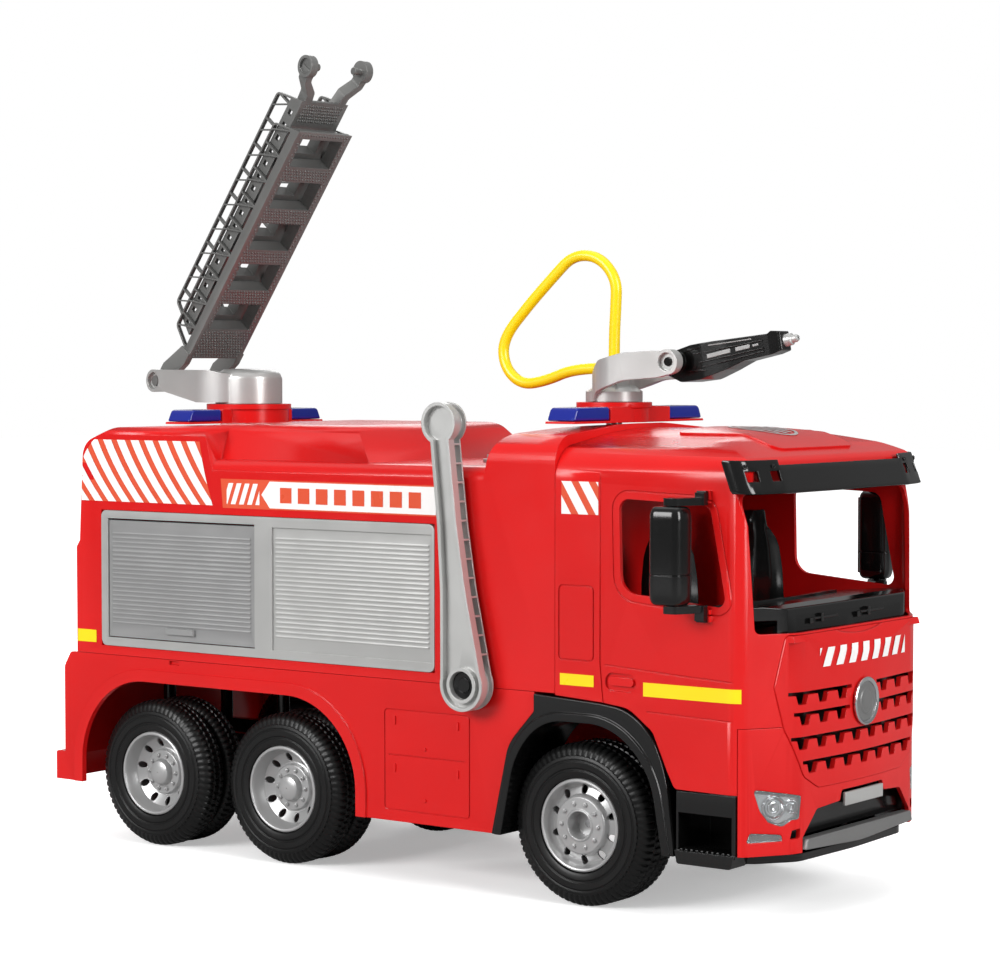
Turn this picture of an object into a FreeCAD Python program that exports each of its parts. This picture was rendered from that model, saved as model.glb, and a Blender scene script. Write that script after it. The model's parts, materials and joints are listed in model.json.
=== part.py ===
import FreeCAD
import Part

import math
import os

# Toy fire engine with a swivelling ladder, a water cannon and a hand pump.  Millimetres.
# +X forward, +Y to the vehicle's left, +Z up; the origin is on the ground under the middle.

# ---- driving dimensions ---------------------------------------------------------------
REAR_X, FRONT_X = -325.5, 325.5
SIDE_Y = 115.6                  # half the width over the body sides
WALL = 3.0                      # wall of the moulded shells
SEAM = 0.3                      # gap between neighbouring shells
RUNNING = 0.06                  # radial clearance of a pin or shaft in its bore
SEAM_Z = 144.2                  # top of the lower body
DECK_Z = (126.0, 129.0)         # the lower body's deck

WHEEL_R = 55.5
WHEEL_FACE_Y = 111.3            # outer face of every wheel
RIM_R = 32.0
AXLE_R = 3.0
WHEELS = {"rear": (-227.9, 50.0), "middle": (-98.3, 50.0), "front": (166.1, 42.0)}

SHUTTER_X = (-275.0, 47.6)      # silver shutter frame
SHUTTER_Z = (151.5, 255.0)
DOOR_X = (-268.0, -119.0)       # opening of the rear shutter
DOOR_Z = (158.0, 249.0)
FIXED_X = (-102.0, 45.0)        # fixed ribbed panel
DOOR_HINGE = (112.6, 246.0)     # |y| and z of the door's hinge line
COMPARTMENT_DEPTH = 62.0

CAB_REAR_X = 150.3
CAB_SPLIT_Z = 131.3             # above this the cab, below it the bumper
BUMPER_X = 293.0

LADDER_TURRET = (-227.0, 335.4)  # x and z of the rear pedestal's top
LADDER_TURN = -9.0               # degrees about Z, as it stands at rest
LADDER_REACH = 75.0              # pedestal centre to ladder pivot
LADDER_PIVOT_Z = 353.5
LADDER_TILT = 51.3               # degrees above the horizontal, at rest
CANNON_TURRET = (120.0, 339.5)
CANNON_REACH = 62.0
CANNON_PIVOT_Z = 368.0
CANNON_TILT = 10.4

LEVER_PIVOT = (82.8, 146.4)      # x and z
LEVER_HEAD = (63.2, 325.8)
LEVER_Y = (-132.0, -118.4)
CRANK_R = 14.0
PUMP_Y = -64.0

HOSE_R = 4.0
INNER_HOSE_R = 3.0
TURNED = {"X": (1, 2, 0), "Y": (0, 2, 1), "Z": (0, 1, 2)}   # where an outline's u, v and depth go


# ---- building blocks ------------------------------------------------------------------
def at(x, y, z):
    return FreeCAD.Vector(x, y, z)


def box(x, y, z):
    """A box from three (low, high) pairs."""
    (x0, x1), (y0, y1), (z0, z1) = (sorted(pair) for pair in (x, y, z))
    return Part.makeBox(x1 - x0, y1 - y0, z1 - z0, at(x0, y0, z0))


def rod(radius, start, end):
    start, end = at(*start), at(*end)
    return Part.makeCylinder(radius, (end - start).Length, start, end - start)


def tube(outer, inner, start, end):
    return rod(outer, start, end).cut(rod(inner, start, end))


def fuse(shapes):
    shapes = list(shapes)
    joined = shapes[0]
    for shape in shapes[1:]:
        joined = joined.fuse(shape)
    return joined.removeSplitter()


def trim(shape, cutters):
    for cutter in cutters:
        shape = shape.cut(cutter)
    return shape


def mirrored(shape):
    return shape.mirror(at(0, 0, 0), at(0, 1, 0))


def turned(shape, degrees, axis=(0, 0, 1), centre=(0, 0, 0)):
    shape = shape.copy()
    shape.rotate(at(*centre), at(*axis), degrees)
    return shape


def moved(shape, x=0.0, y=0.0, z=0.0):
    shape = shape.copy()
    shape.translate(at(x, y, z))
    return shape


def neighbours(corners):
    return zip(corners[-1:] + corners[:-1], corners, corners[1:] + corners[:1])


def slab(corners, axis, low, high, lean=(0.0, 0.0)):
    """An outline of (u, v) or (u, v, radius) corners, drawn out along an axis.

    lean moves the far end by (u, v).
    """
    order = TURNED[axis]

    def place(u, v, depth=low):
        spot = [0.0, 0.0, 0.0]
        for index, value in zip(order, (u, v, depth)):
            spot[index] = value
        return at(*spot)

    corners = [(*corner, 0.0)[:3] for corner in corners]
    edges, last, first = [], None, None
    for before, here, after in neighbours(corners):
        p = place(*here[:2])
        start = end = p
        if here[2]:
            a = (place(*before[:2]) - p).normalize()
            b = (place(*after[:2]) - p).normalize()
            half = a.getAngle(b) / 2
            start = p + a * (here[2] / math.tan(half))
            end = p + b * (here[2] / math.tan(half))
            centre = p + (a + b).normalize() * (here[2] / math.sin(half))
            middle = centre + (p - centre).normalize() * here[2]
        if last is None:
            first = start
        elif (last - start).Length > 1e-6:
            edges.append(Part.LineSegment(last, start).toShape())
        if here[2]:
            edges.append(Part.Arc(start, middle, end).toShape())
        last = end
    if (last - first).Length > 1e-6:
        edges.append(Part.LineSegment(last, first).toShape())
    far = place(lean[0], lean[1], high) - place(0.0, 0.0)
    return Part.Face(Part.Wire(edges)).extrude(far)


def inset(corners, distance):
    """The outline moved inwards; rounded corners keep their centres."""
    corners = [(*corner, 0.0)[:3] for corner in corners]
    area = sum(a[0] * b[1] - b[0] * a[1] for a, b in zip(corners, corners[1:] + corners[:1]))
    side = distance if area > 0 else -distance
    result = []
    for before, here, after in neighbours(corners):
        one = math.atan2(here[1] - before[1], here[0] - before[0])
        two = math.atan2(after[1] - here[1], after[0] - here[0])
        along = -side * math.tan((two - one) / 2)
        x = here[0] - side * math.sin(one) + along * math.cos(one)
        y = here[1] + side * math.cos(one) + along * math.sin(one)
        grown = here[2] - distance if math.sin(two - one) * area > 0 else here[2] + distance
        result.append((x, y, max(grown, 0.0) if here[2] else 0.0))
    return result


def common(shapes):
    shapes = list(shapes)
    met = shapes[0]
    for shape in shapes[1:]:
        met = met.common(shape)
    return met


def ring(profile, centre, axis):
    """A profile of (radius, depth) points turned about an axis through centre."""
    points = [at(radius, 0, depth) for radius, depth in profile]
    face = Part.Face(Part.makePolygon(points + points[:1]))
    solid = face.revolve(at(0, 0, 0), at(0, 0, 1), 360)
    solid.Placement = FreeCAD.Placement(at(*centre), FreeCAD.Rotation(at(0, 0, 1), at(*axis)))
    return solid


def hose_tube(route, radius, name):
    """Straight runs joined by tangent arcs."""
    points = [at(*point) for point in route]
    edges, radii, last = [], [], points[0]
    for before, here, after in zip(points, points[1:], points[2:]):
        a, b = (before - here).normalize(), (after - here).normalize()
        half = a.getAngle(b) / 2
        reach = 0.45 * min((before - here).Length, (after - here).Length)
        bend = reach * math.tan(half)
        centre = here + (a + b).normalize() * (bend / math.sin(half))
        middle = centre + (here - centre).normalize() * bend
        edges.append(Part.LineSegment(last, here + a * reach).toShape())
        edges.append(Part.Arc(here + a * reach, middle, here + b * reach).toShape())
        last = here + b * reach
        radii.append(round(bend, 1))
    edges.append(Part.LineSegment(last, points[-1]).toShape())
    path = Part.Wire(edges)
    mouth = Part.Wire(Part.makeCircle(radius, points[0], points[1] - points[0]))
    solid = path.makePipeShell([mouth], True, False)
    share = solid.Volume / (math.pi * radius ** 2 * path.Length)
    print(name, "length", round(path.Length, 1), "volume over section x length", round(share, 4), "radii",
          radii)
    return solid


PARTS = {}


def keep(name, shape):
    PARTS[name] = shape


def both_sides(name, shape):
    keep(name + "_right", shape)
    keep(name + "_left", mirrored(shape))


# ---- lower body and chassis -----------------------------------------------------------
ARCH = [(-296.0, 30.0), (-296.0, DECK_Z[0], 65.0), (-23.0, DECK_Z[0], 65.0), (-23.0, 30.0)]
FENDER_OUTER = [(98.0, 44.0), (112.0, 107.0, 30.0), (133.5, 131.0, 4.0), (133.5, 143.2), (188.0, 140.4),
                (209.0, 138.0, 42.0), (228.0, 124.0, 44.0), (240.0, 98.0, 95.0), (246.5, 44.0)]
FENDER_INNER = [(104.0, 30.0), (118.0, 100.0, 60.0), (141.0, 126.0, 38.0), (197.0, 126.5, 49.0),
                (228.0, 100.0, 58.0), (240.5, 30.0)]


def lower_body():
    outline = [(REAR_X, 44.0), (REAR_X, 66.0, 2.0), (-316.0, 66.0), (-316.0, 133.0, 8.0),
               (-309.0, SEAM_Z, 2.0),
               (133.0, SEAM_Z), (133.0, 131.3), (111.4, 107.3, 30.0), (97.4, 44.0)]
    body = slab(outline, "Y", -SIDE_Y, SIDE_Y)
    below = [(-322.5, 30.0), (-322.5, 63.0), (-313.0, 63.0), (-313.0, DECK_Z[0]), (104.0, DECK_Z[0]),
             (94.0, 30.0)]
    inner_y = SIDE_Y - WALL
    body = body.cut(slab(below, "Y", -inner_y, inner_y))
    body = body.cut(box((-311.0, 130.0), (-inner_y, inner_y), (DECK_Z[1], SEAM_Z + 1)))
    body = body.cut(slab(ARCH, "Y", -SIDE_Y - 5, SIDE_Y + 5))
    lip = slab(inset(ARCH, -9.0), "Y", -SIDE_Y - 1.5,
               -SIDE_Y + 1.5).cut(slab(ARCH, "Y", -SIDE_Y - 5, SIDE_Y + 5))
    lip = lip.common(box((-320, 0), (-SIDE_Y - 5, SIDE_Y + 5), (44.0, 200)))
    body = fuse([body, lip, mirrored(lip)])
    for side in (-1, 1):
        body = body.cut(box((86.0, 120.0), (side * (RAIL_Y[0] - 1), side * (RAIL_Y[1] + 1)),
                            (30.0, RAIL_Z[1] + 1)))
    return body.cut(rod(5.0 + RUNNING, (LEVER_PIVOT[0], -SIDE_Y - 5, LEVER_PIVOT[1]),
                        (LEVER_PIVOT[0], -SIDE_Y + 10, LEVER_PIVOT[1])))


RAIL_Y = (30.0, 37.0)
RAIL_Z = (46.0, 80.0)
POST_X = (-282.0, -163.0, -34.0, 84.0)
SCREW_X = POST_X


def underframe():
    rail = box((-308.0, 290.0), RAIL_Y, RAIL_Z)
    pieces = [rail, mirrored(rail)]
    middle_y = sum(RAIL_Y) / 2
    for x in (-300.0, -163.0, -34.0, 60.0, 240.0, 284.0):
        pieces.append(box((x - 4, x + 4), (-RAIL_Y[1], RAIL_Y[1]), (54.0, 74.0)))
    for x in POST_X:
        for y in (-middle_y, middle_y):
            pieces.append(rod(5.0, (x, y, 70.0), (x, y, DECK_Z[0])))
    for x in (215.0, 270.0):
        for y in (-middle_y, middle_y):
            pieces.append(rod(5.0, (x, y, 70.0), (x, y, FLOOR_Z[0])))
    tray = [(244.5, -62.0), (262.0, -98.0, 6.0), (292.0, -98.0, 14.0), (313.0, -70.0, 20.0),
            (316.0, 0.0, 200.0),
            (313.0, 70.0, 20.0), (292.0, 98.0, 14.0), (262.0, 98.0, 6.0), (244.5, 62.0)]
    pieces.append(slab(tray, "Z", 41.0, 46.0))
    frame = fuse(pieces)
    bores = [rod(AXLE_R + RUNNING, (x, -60, WHEEL_R), (x, 60, WHEEL_R)) for x, _ in WHEELS.values()]
    holes = [rod(1.6, (x, y, 40.0), (x, y, 76.0)) for x in SCREW_X for y in (-middle_y, middle_y)]
    return trim(frame, bores + holes)


def screws():
    middle_y = sum(RAIL_Y) / 2
    solids = []
    for x in SCREW_X:
        for y in (-middle_y, middle_y):
            head = rod(3.4, (x, y, RAIL_Z[0] - 2.2), (x, y, RAIL_Z[0]))
            cross = box((x - 0.5, x + 0.5), (y - 2, y + 2), (RAIL_Z[0] - 3, RAIL_Z[0] - 1.2))
            shank = rod(1.5, (x, y, RAIL_Z[0] - 1), (x, y, 74.0))
            solids.append(fuse([head, shank]).cut(cross).cut(turned(cross, 90, centre=(x, y, 0))))
    return Part.Compound(solids)


# ---- upper body -----------------------------------------------------------------------
def upper_forms(base, inside):
    """The upper body's four masses, each a side outline crossed with an end outline."""
    y = SIDE_Y
    rear_side = [(-302.0, base), (-302.0, 226.0), (-298.5, 231.0), (-294.5, 306.0, 16.0),
                 (-262.0, 318.5, 30.0),
                 (-169.0, 321.0, 6.0), (-154.0, 264.0), (-152.0, base)]
    rear_end = [(-y, base), (-y, 321.0, 8.0), (y, 321.0, 8.0), (y, base)]
    middle_side = [(-170.0, base), (-170.0, 296.0), (104.0, 296.0), (104.0, base)]
    middle_end = [(-y, base), (-y, 296.0, 10.0), (y, 296.0, 10.0), (y, base)]
    hump_base = 288.0 if not inside else 280.0
    hump_side = [(-182.0, hump_base), (-182.0, 322.0), (-46.0, 322.0, 14.0), (-22.0, 296.0, 8.0),
                 (-15.0, hump_base)]
    hump_end = [(-107.0, hump_base), (-86.0, 322.0, 12.0), (86.0, 322.0, 12.0), (107.0, hump_base)]
    ridge_side = [(89.5, base), (89.5, 286.0), (98.0, 321.5, 26.0), (CAB_REAR_X - SEAM, 325.0),
                  (CAB_REAR_X - SEAM, base)]
    ridge_end = [(-y, base), (-y, 317.5, 20.0), (0.0, 326.5, 400.0), (y, 317.5, 20.0), (y, base)]
    pairs = [(rear_side, rear_end), (middle_side, middle_end), (hump_side, hump_end),
             (ridge_side, ridge_end)]
    shrink = WALL if inside else 0.0
    for side, end in pairs:
        if inside:
            side, end = inset(side, shrink), inset(end, shrink)
        yield slab(side, "Y", -200, 200).common(slab(end, "X", -400, 400))


def upper_body():
    base = SEAM_Z + SEAM
    outer = fuse(upper_forms(base, False))
    inner = fuse(upper_forms(base - 20.0, True))
    joints = [box((-172.0, -140.0), (-112.6, 112.6), (base - 20, 262.0)),
              box((80.0, 110.0), (-112.6, 112.6), (base - 20, 262.0))]
    body = trim(outer, [inner] + joints)
    x0, x1 = DOOR_X[0] - 1.0, DOOR_X[1] + 1.0
    z0, z1 = DOOR_Z[0] - 1.0, DOOR_Z[1] + 2.0
    back = SIDE_Y - COMPARTMENT_DEPTH
    for side in (-1, 1):
        room = box((x0 - 2, x1 + 2), (side * (back - 2), side * (SIDE_Y - 1)), (z0 - 2, z1 + 2))
        body = body.fuse(room)
        body = body.cut(box((x0, x1), (side * back, side * 130), (z0, z1)))
        body = body.cut(box((SHUTTER_X[0] - SEAM, SHUTTER_X[1] + SEAM), (side * (SIDE_Y - 2.6), side * 130),
                            (SHUTTER_Z[0] - SEAM, SHUTTER_Z[1] + SEAM)))
        body = body.cut(box((DOOR_X[0] - 6, DOOR_X[1] + 6), (side * 108.9, side * 130),
                            (DOOR_HINGE[1] - 4, DOOR_HINGE[1] + 4)))
        body = body.cut(box((-112.0, SHUTTER_X[1] - 4), (side * 100, side * 130),
                            (SHUTTER_Z[0] + 4, SHUTTER_Z[1] - 4)))
    for x, bore in ((LADDER_TURRET[0], 12.0), (CANNON_TURRET[0], 6.0)):
        body = body.cut(rod(bore, (x, 0, 300), (x, 0, 340)))
    body = body.cut(rod(9.3, (FILLER[0], FILLER[1], 280), (FILLER[0], FILLER[1], 300)))
    body = body.cut(rod(5.0 + RUNNING, (LEVER_PIVOT[0], -SIDE_Y - 5, LEVER_PIVOT[1]),
                        (LEVER_PIVOT[0], -SIDE_Y + 10, LEVER_PIVOT[1])))
    return body.removeSplitter()


def shutter_frame():
    """The right-hand frame, flush with the body side, with its fixed ribbed panel."""
    face, back = -SIDE_Y - 0.4, -SIDE_Y + 2.4
    outline = [(SHUTTER_X[0], SHUTTER_Z[0], 5), (SHUTTER_X[1], SHUTTER_Z[0], 5),
               (SHUTTER_X[1], SHUTTER_Z[1], 5),
               (SHUTTER_X[0], SHUTTER_Z[1], 5)]
    frame = slab(outline, "Y", face, back)
    frame = frame.cut(box(DOOR_X, (-130, -100), DOOR_Z))
    frame = frame.cut(box(FIXED_X, (-130, face + 1.4), (158.0, 247.5)))
    ribs = []
    pitch = 3.4
    for index in range(22):
        z = 167.0 + index * pitch
        ribs.append(slab([(face + 1.5, z), (face + 0.5, z + 0.7), (face + 0.5, z + 1.7),
                          (face + 1.5, z + 2.4)], "X",
                         FIXED_X[0] + 3, FIXED_X[1] - 3))
    sockets = [rod(1.5 + RUNNING, (x0, -DOOR_HINGE[0], DOOR_HINGE[1]), (x1, -DOOR_HINGE[0], DOOR_HINGE[1]))
               for x0, x1 in ((DOOR_X[0] - 4, DOOR_X[0] + 1), (DOOR_X[1] - 1, DOOR_X[1] + 4))]
    ears = [box(x, (back - 0.1, -109.6), (DOOR_HINGE[1] - 3, DOOR_HINGE[1] + 2.8))
            for x in ((DOOR_X[0] - 5, DOOR_X[0] - 1.4), (DOOR_X[1] + 1.4, DOOR_X[1] + 5))]
    return trim(fuse([frame] + ribs + ears), sockets)


def shutter_door():
    """The right-hand ribbed flap, hinged on two moulded pins at its top corners."""
    y, z = -DOOR_HINGE[0], DOOR_HINGE[1]
    x0, x1 = DOOR_X[0] + 0.6, DOOR_X[1] - 0.6
    face = -SIDE_Y + 0.6
    pieces = [box((x0, x1), (face, face + 2.4), (DOOR_Z[0] + 0.6, DOOR_Z[1] - 1.4))]
    pitch = 3.4
    for index in range(21):
        low = 168.5 + index * pitch
        pieces.append(slab([(face + 0.1, low), (face - 0.8, low + 0.7), (face - 0.8, low + 1.7),
                            (face + 0.1, low + 2.4)],
                           "X", x0 + 4, x1 - 4))
    pieces.append(box((-207.0, -179.0), (face - 2.6, face + 0.1), (163.5, 168.0)))
    pieces.append(rod(1.9, (x0, y, z), (x1, y, z)))
    pieces.append(rod(1.5, (DOOR_X[0] - 3, y, z), (DOOR_X[1] + 3, y, z)))
    return fuse(pieces)


# ---- cab ------------------------------------------------------------------------------
FLOOR_Z = (150.0, 153.0)
PLAN = [(CAB_REAR_X, -SIDE_Y), (294.0, -SIDE_Y, 16.0), (317.5, -80.0, 34.0), (FRONT_X - 1.7, 0.0, 500.0),
        (317.5, 80.0, 34.0), (294.0, SIDE_Y, 16.0), (CAB_REAR_X, SIDE_Y)]
CAB_SIDE = [(CAB_REAR_X, 143.3), (188.0, 141.1), (209.5, 138.7, 20.0), (228.8, 124.6, 12.0),
            (240.6, 98.6, 14.0), (246.0, 88.4, 4.0), (292.5, 88.0), (292.5, CAB_SPLIT_Z),
            (335.0, CAB_SPLIT_Z), (335.0, 160.0), (324.0, 170.0, 10.0), (291.5, 284.0, 3.0),
            (298.0, 290.0, 2.0), (299.0, 304.0, 8.0), (262.0, 318.5, 80.0), (205.0, 324.8, 200.0),
            (CAB_REAR_X, 325.5)]
CAB_END = [(-SIDE_Y, 60.0), (-SIDE_Y, 309.0, 24.0), (0.0, 326.5, 400.0), (SIDE_Y, 309.0, 24.0),
           (SIDE_Y, 60.0)]
SIDE_WINDOW = [(202.0, 277.5, 7.0), (272.5, 275.0, 8.0), (285.5, 208.5, 6.0), (203.5, 215.5, 13.0)]
WINDSCREEN = [(-111.0, 282.0, 8.0), (111.0, 282.0, 8.0), (105.5, 192.0, 4.0), (-105.5, 192.0, 4.0)]
GRILLE = [(-87.0, 190.5, 3.0), (-94.0, 157.0, 6.0), (-88.0, 129.5, 3.0), (-73.0, 98.0, 8.0),
          (-56.0, 89.0, 8.0),
          (56.0, 89.0, 8.0), (73.0, 98.0, 8.0), (88.0, 129.5, 3.0), (94.0, 157.0, 6.0), (87.0, 190.5, 3.0)]


def cab_shell():
    outer = common([slab(PLAN, "Z", 60, 340), slab(CAB_SIDE, "Y", -200, 200), slab(CAB_END, "X", 100, 400)])
    inner = common([slab(inset(PLAN, WALL), "Z", 60, 340), slab(inset(CAB_SIDE, WALL), "Y", -200, 200),
                    slab(inset(CAB_END, WALL), "X", 100, 400)])
    open_below = common([slab(inset(PLAN, WALL), "Z", 60, 148),
                         box((CAB_REAR_X + WALL, 289.5), (-200, 200), (60, 148))])
    open_front = common([slab(inset(PLAN, WALL), "Z", 100, 148),
                         box((280.0, 330.0), (-200, 200), (100, 148))])
    shell = trim(outer, [inner, open_below, open_front])
    shell = shell.cut(slab(SIDE_WINDOW, "Y", -200, 200))
    shell = shell.cut(slab(WINDSCREEN, "X", 262, 400))
    shell = shell.cut(slab(inset(GRILLE, -SEAM), "X", 300, 400))
    for x, z in MIRROR_PADS:
        pad = box((x - 4, x + 4), (-SIDE_Y - 3.0, -SIDE_Y + 1), (z - 4, z + 4))
        shell = fuse([shell, pad, mirrored(pad)])
    return shell


def front_skin(grow=0.0):
    """The skin of the cab front that the bumper, the grille panel and the lamps share."""
    return slab(inset(PLAN, -grow), "Z", 44, 200).cut(slab(inset(PLAN, WALL), "Z", 30, 220))


LAMP = [(-106.0, 91.5, 1.5), (-75.0, 85.5, 1.5), (-77.0, 70.5, 2), (-83.0, 70.5, 3), (-89.0, 66.5, 3),
        (-97.0, 70.0, 3),
        (-102.0, 77.5, 4)]
FOG = [(-110.0, 57.2, 1), (-108.0, 63.2, 1.5), (-89.5, 61.2, 1.5), (-88.5, 57.2, 1)]
VENT = [(-84.0, 57.5, 0.8), (-82.5, 63.5, 0.8), (-75.5, 64.5, 0.8), (-76.0, 58.0, 0.8)]
MOUTH = [(-73.8, 30.0), (-73.2, 58.0, 2.0), (-57.0, 75.0, 5.0), (-30.0, 77.0, 2.0), (-28.0, 84.0, 3.0),
         (28.0, 84.0, 3.0), (30.0, 77.0, 2.0), (57.0, 75.0, 5.0), (73.2, 58.0, 2.0), (73.8, 30.0)]


def mirrored_outline(corners):
    return [(-corner[0], *corner[1:]) for corner in corners]


def bumper():
    skin = front_skin().common(box((BUMPER_X, 400), (-200, 200), (48.0, CAB_SPLIT_Z - SEAM)))
    skin = skin.cut(slab(inset(GRILLE, -SEAM), "X", 280, 400))
    for outline in (inset(LAMP, -SEAM), inset(FOG, -SEAM), VENT):
        skin = skin.cut(slab(outline, "X", 280, 400))
        skin = skin.cut(slab(mirrored_outline(outline), "X", 280, 400))
    return skin.cut(slab(MOUTH, "X", 300, 400))


def front_panel():
    plate = front_skin(0.6).common(slab(GRILLE, "X", 300, 400))
    lean = [(280.0, 60.0), (324.6, 60.0), (324.6, 168.5, 10.0), (317.9, 192.0), (280.0, 192.0)]
    plate = plate.common(slab(lean, "Y", -200, 200))
    top_rail = slab([(313.4, 186.0), (319.0, 186.0), (317.6, 190.5), (313.4, 190.5)], "Y", -86, 86)
    plate = fuse([plate, top_rail.common(slab(GRILLE, "X", 300, 400))])
    rows = [(153.5, 86.0, 17.0), (140.0, 82.0, 19.0), (124.0, 84.0, 0.0), (108.0, 74.0, 0.0)]
    for top, reach, clear in rows:
        spans = [(-reach, -clear), (clear, reach)] if clear else [(-reach, reach)]
        for low, high in spans:
            plate = plate.cut(box((300, 340), (low, high), (top - 2.4, top)))
            count = max(int((high - low) // 20), 1)
            for index in range(count):
                y = low + (index + 0.5) * (high - low) / count
                notch = [(y - 6.5, top - 1), (y + 6.5, top - 1), (y + 4.0, top - 8.5, 1),
                         (y - 4.0, top - 8.5, 1)]
                plate = plate.cut(slab(notch, "X", 300, 340))
    return plate


def grille_backing():
    """Dark plate behind the slots and the bumper's mouth, with the bracket that holds the number plate."""
    plate = slab([(-84.0, 56.0), (-84.0, 158.0), (84.0, 158.0), (84.0, 56.0)], "X", 304.0, 307.0)
    bracket = box((306.9, 320.9), (-22.0, 22.0), (74.5, 80.5))
    return fuse([plate, bracket])


def visor():
    """Sun visor: a leaning strip round the top of the windscreen, deeper at its two ends."""
    drop = 21.5
    outer = [(278.0, -118.6), (294.0, -118.6, 14.0), (301.5, -84.0, 26.0), (303.0, 0.0, 500.0),
             (301.5, 84.0, 26.0),
             (294.0, 118.6, 14.0), (278.0, 118.6)]
    strip = slab(outer, "Z", 304.5, 304.5 - drop, lean=(8.0, 0.0))
    strip = strip.cut(slab(inset(outer, 2.4), "Z", 304.6, 282.9, lean=(8.1, 0.0)))
    strip = strip.cut(box((260.0, 284.5), (-200, 200), (270.0, 296.0)))
    middle = [(-66.0, 320.0), (-66.0, 301.0, 2.0), (66.0, 301.0, 2.0), (66.0, 320.0)]
    strip = strip.cut(slab(middle, "X", 292, 330))
    for y in (-95.0, -72.0, 72.0, 95.0):
        strip = strip.cut(box((296.0, 330.0), (y - 2.5, y + 2.5), (289.0, 296.5)))
    for side in (-1, 1):
        strip = strip.cut(box((298.5, 304.5), (side * 100, side * 130), (291.5, 299.5)))
    tabs = [box((298.0, 304.0), (y - 4, y + 4), (297.5, 300.0)) for y in (-40.0, 40.0)]
    shell = common([slab(PLAN, "Z", 60, 340), slab(CAB_SIDE, "Y", -200, 200), slab(CAB_END, "X", 100, 400)])
    return fuse([strip] + tabs).cut(shell)


def dashboard():
    plan = [(244.0, -110.0), (290.0, -110.0, 12.0), (311.0, -80.0, 30.0), (312.8, 0.0, 400.0),
            (311.0, 80.0, 30.0), (290.0, 110.0, 12.0), (244.0, 110.0)]
    side = [(243.0, 186.0), (243.0, 204.0, 3.0), (300.0, 209.0, 3.0), (309.5, 207.5, 2.0), (313.8, 193.0),
            (313.8, 186.0)]
    block = slab(plan, "Z", 180, 215).common(slab(side, "Y", -200, 200))
    hollow = slab(inset(plan, 2.4), "Z", 180, 215).common(slab(inset(side, 2.4), "Y", -200, 200))
    hollow = fuse([hollow, box((248, 306), (-103, 103), (180, 200))])
    return block.cut(hollow)


def seat():
    """The left-hand seat: a tall back that narrows to a head rest, on a cushion."""
    y = 60.0
    back = slab([(198.0, 176.0), (195.0, 244.0, 3.0), (199.0, 263.0, 4.0), (208.0, 263.0, 4.0),
                 (212.0, 240.0, 6.0), (214.0, 190.0)], "Y", y - 25, y + 25)
    half = [(25, 160.0), (25, 238.0, 12.0), (13, 252.0, 3.0), (12, 264.0, 4.0)]
    outline = [(y - reach, *rest) for reach, *rest in half] + [(y + reach, *rest) for reach,
                                                               *rest in reversed(half)]
    cushion = slab([(196.0, FLOOR_Z[1]), (196.0, 180.0), (213.0, 184.0), (236.0, 186.0, 6.0),
                    (240.0, 174.0, 4.0), (236.0, FLOOR_Z[1])], "Y", y - 24, y + 24)
    return fuse([back.common(slab(outline, "X", 170, 260)), cushion])


def cab_floor():
    plan = inset(PLAN, WALL + SEAM)
    plate = slab(plan, "Z", *FLOOR_Z).cut(box((303.6, 330.0), (-200, 200), (140.0, 160.0)))
    posts = [box((176.0, 184.0), (y - 4, y + 4), (FLOOR_Z[1], 160.0)) for y in (-60.0, 60.0)]
    return fuse([plate] + posts)


def fender():
    """The right-hand black arch: a face flange with a lip, and the liner that goes in over the wheel."""
    face = slab(FENDER_OUTER, "Y", -SIDE_Y - 1.9, -SIDE_Y + 2.6)
    liner = slab(inset(FENDER_INNER, -2.4), "Y", -SIDE_Y + 2.5,
                 -62.0).common(box((60, 260), (-200, 0), (44.0, 200)))
    arch = fuse([face, liner]).cut(slab(FENDER_INNER, "Y", -200, 200))
    bead = slab(inset(FENDER_INNER, -6.0), "Y", -SIDE_Y - 3.4,
                -SIDE_Y - 1.8).cut(slab(FENDER_INNER, "Y", -200, 200))
    return fuse([arch, bead.common(box((60, 260), (-200, 0), (44.0, 200)))])


def step():
    """The right-hand step: a deep foot hole under the cab door, with a toothed tread that stands out."""
    block = box((247.2, 292.2), (-SIDE_Y + 0.4, -72.0), (46.3, 87.4))
    block = block.cut(box((248.8, 289.5), (-SIDE_Y - 2, -76.0), (49.0, 73.5)))
    tread = slab([(247.2, 48.9), (249.0, 40.0, 2.0), (290.0, 40.0, 2.0), (292.2, 48.9)], "Y", -SIDE_Y - 2.0,
                 -99.0)
    teeth = [box((x, x + 1.6), (-SIDE_Y - 1, -100.0), (48.8, 50.2)) for x in range(251, 288, 4)]
    return fuse([block, tread] + teeth)


# ---- lamps on the roof ----------------------------------------------------------------
BARS = {"rear": (-230.0, 79.0, 41.0, 320.6, 331.5), "front": (130.7, 83.0, 38.0, 325.3, 336.5)}
BAR_FLOOR = 1.6                  # thickness of the bar under its lamps


def light_bar(centre_x, half, red_half, low, high, turret, collar_r, bore):
    x, top = turret
    floor = slab([(-half, low), (-half + 0.5, low + BAR_FLOOR), (half - 0.5, low + BAR_FLOOR),
                  (half, low)], "X",
                 centre_x - 12.2, centre_x + 12.2)
    red = slab([(-red_half, low), (-red_half, high, 2.0), (red_half, high, 2.0), (red_half, low)], "X",
               centre_x - 12.2, centre_x + 12.2)
    pedestal = rod(collar_r - 2.0, (x, 0, low), (x, 0, top - 4))
    collar = rod(collar_r, (x, 0, top - 4), (x, 0, top))
    bar = fuse([floor, red, pedestal, collar])
    return bar.cut(rod(bore, (x, 0, low - 5), (x, 0, top + 5)))


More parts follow.
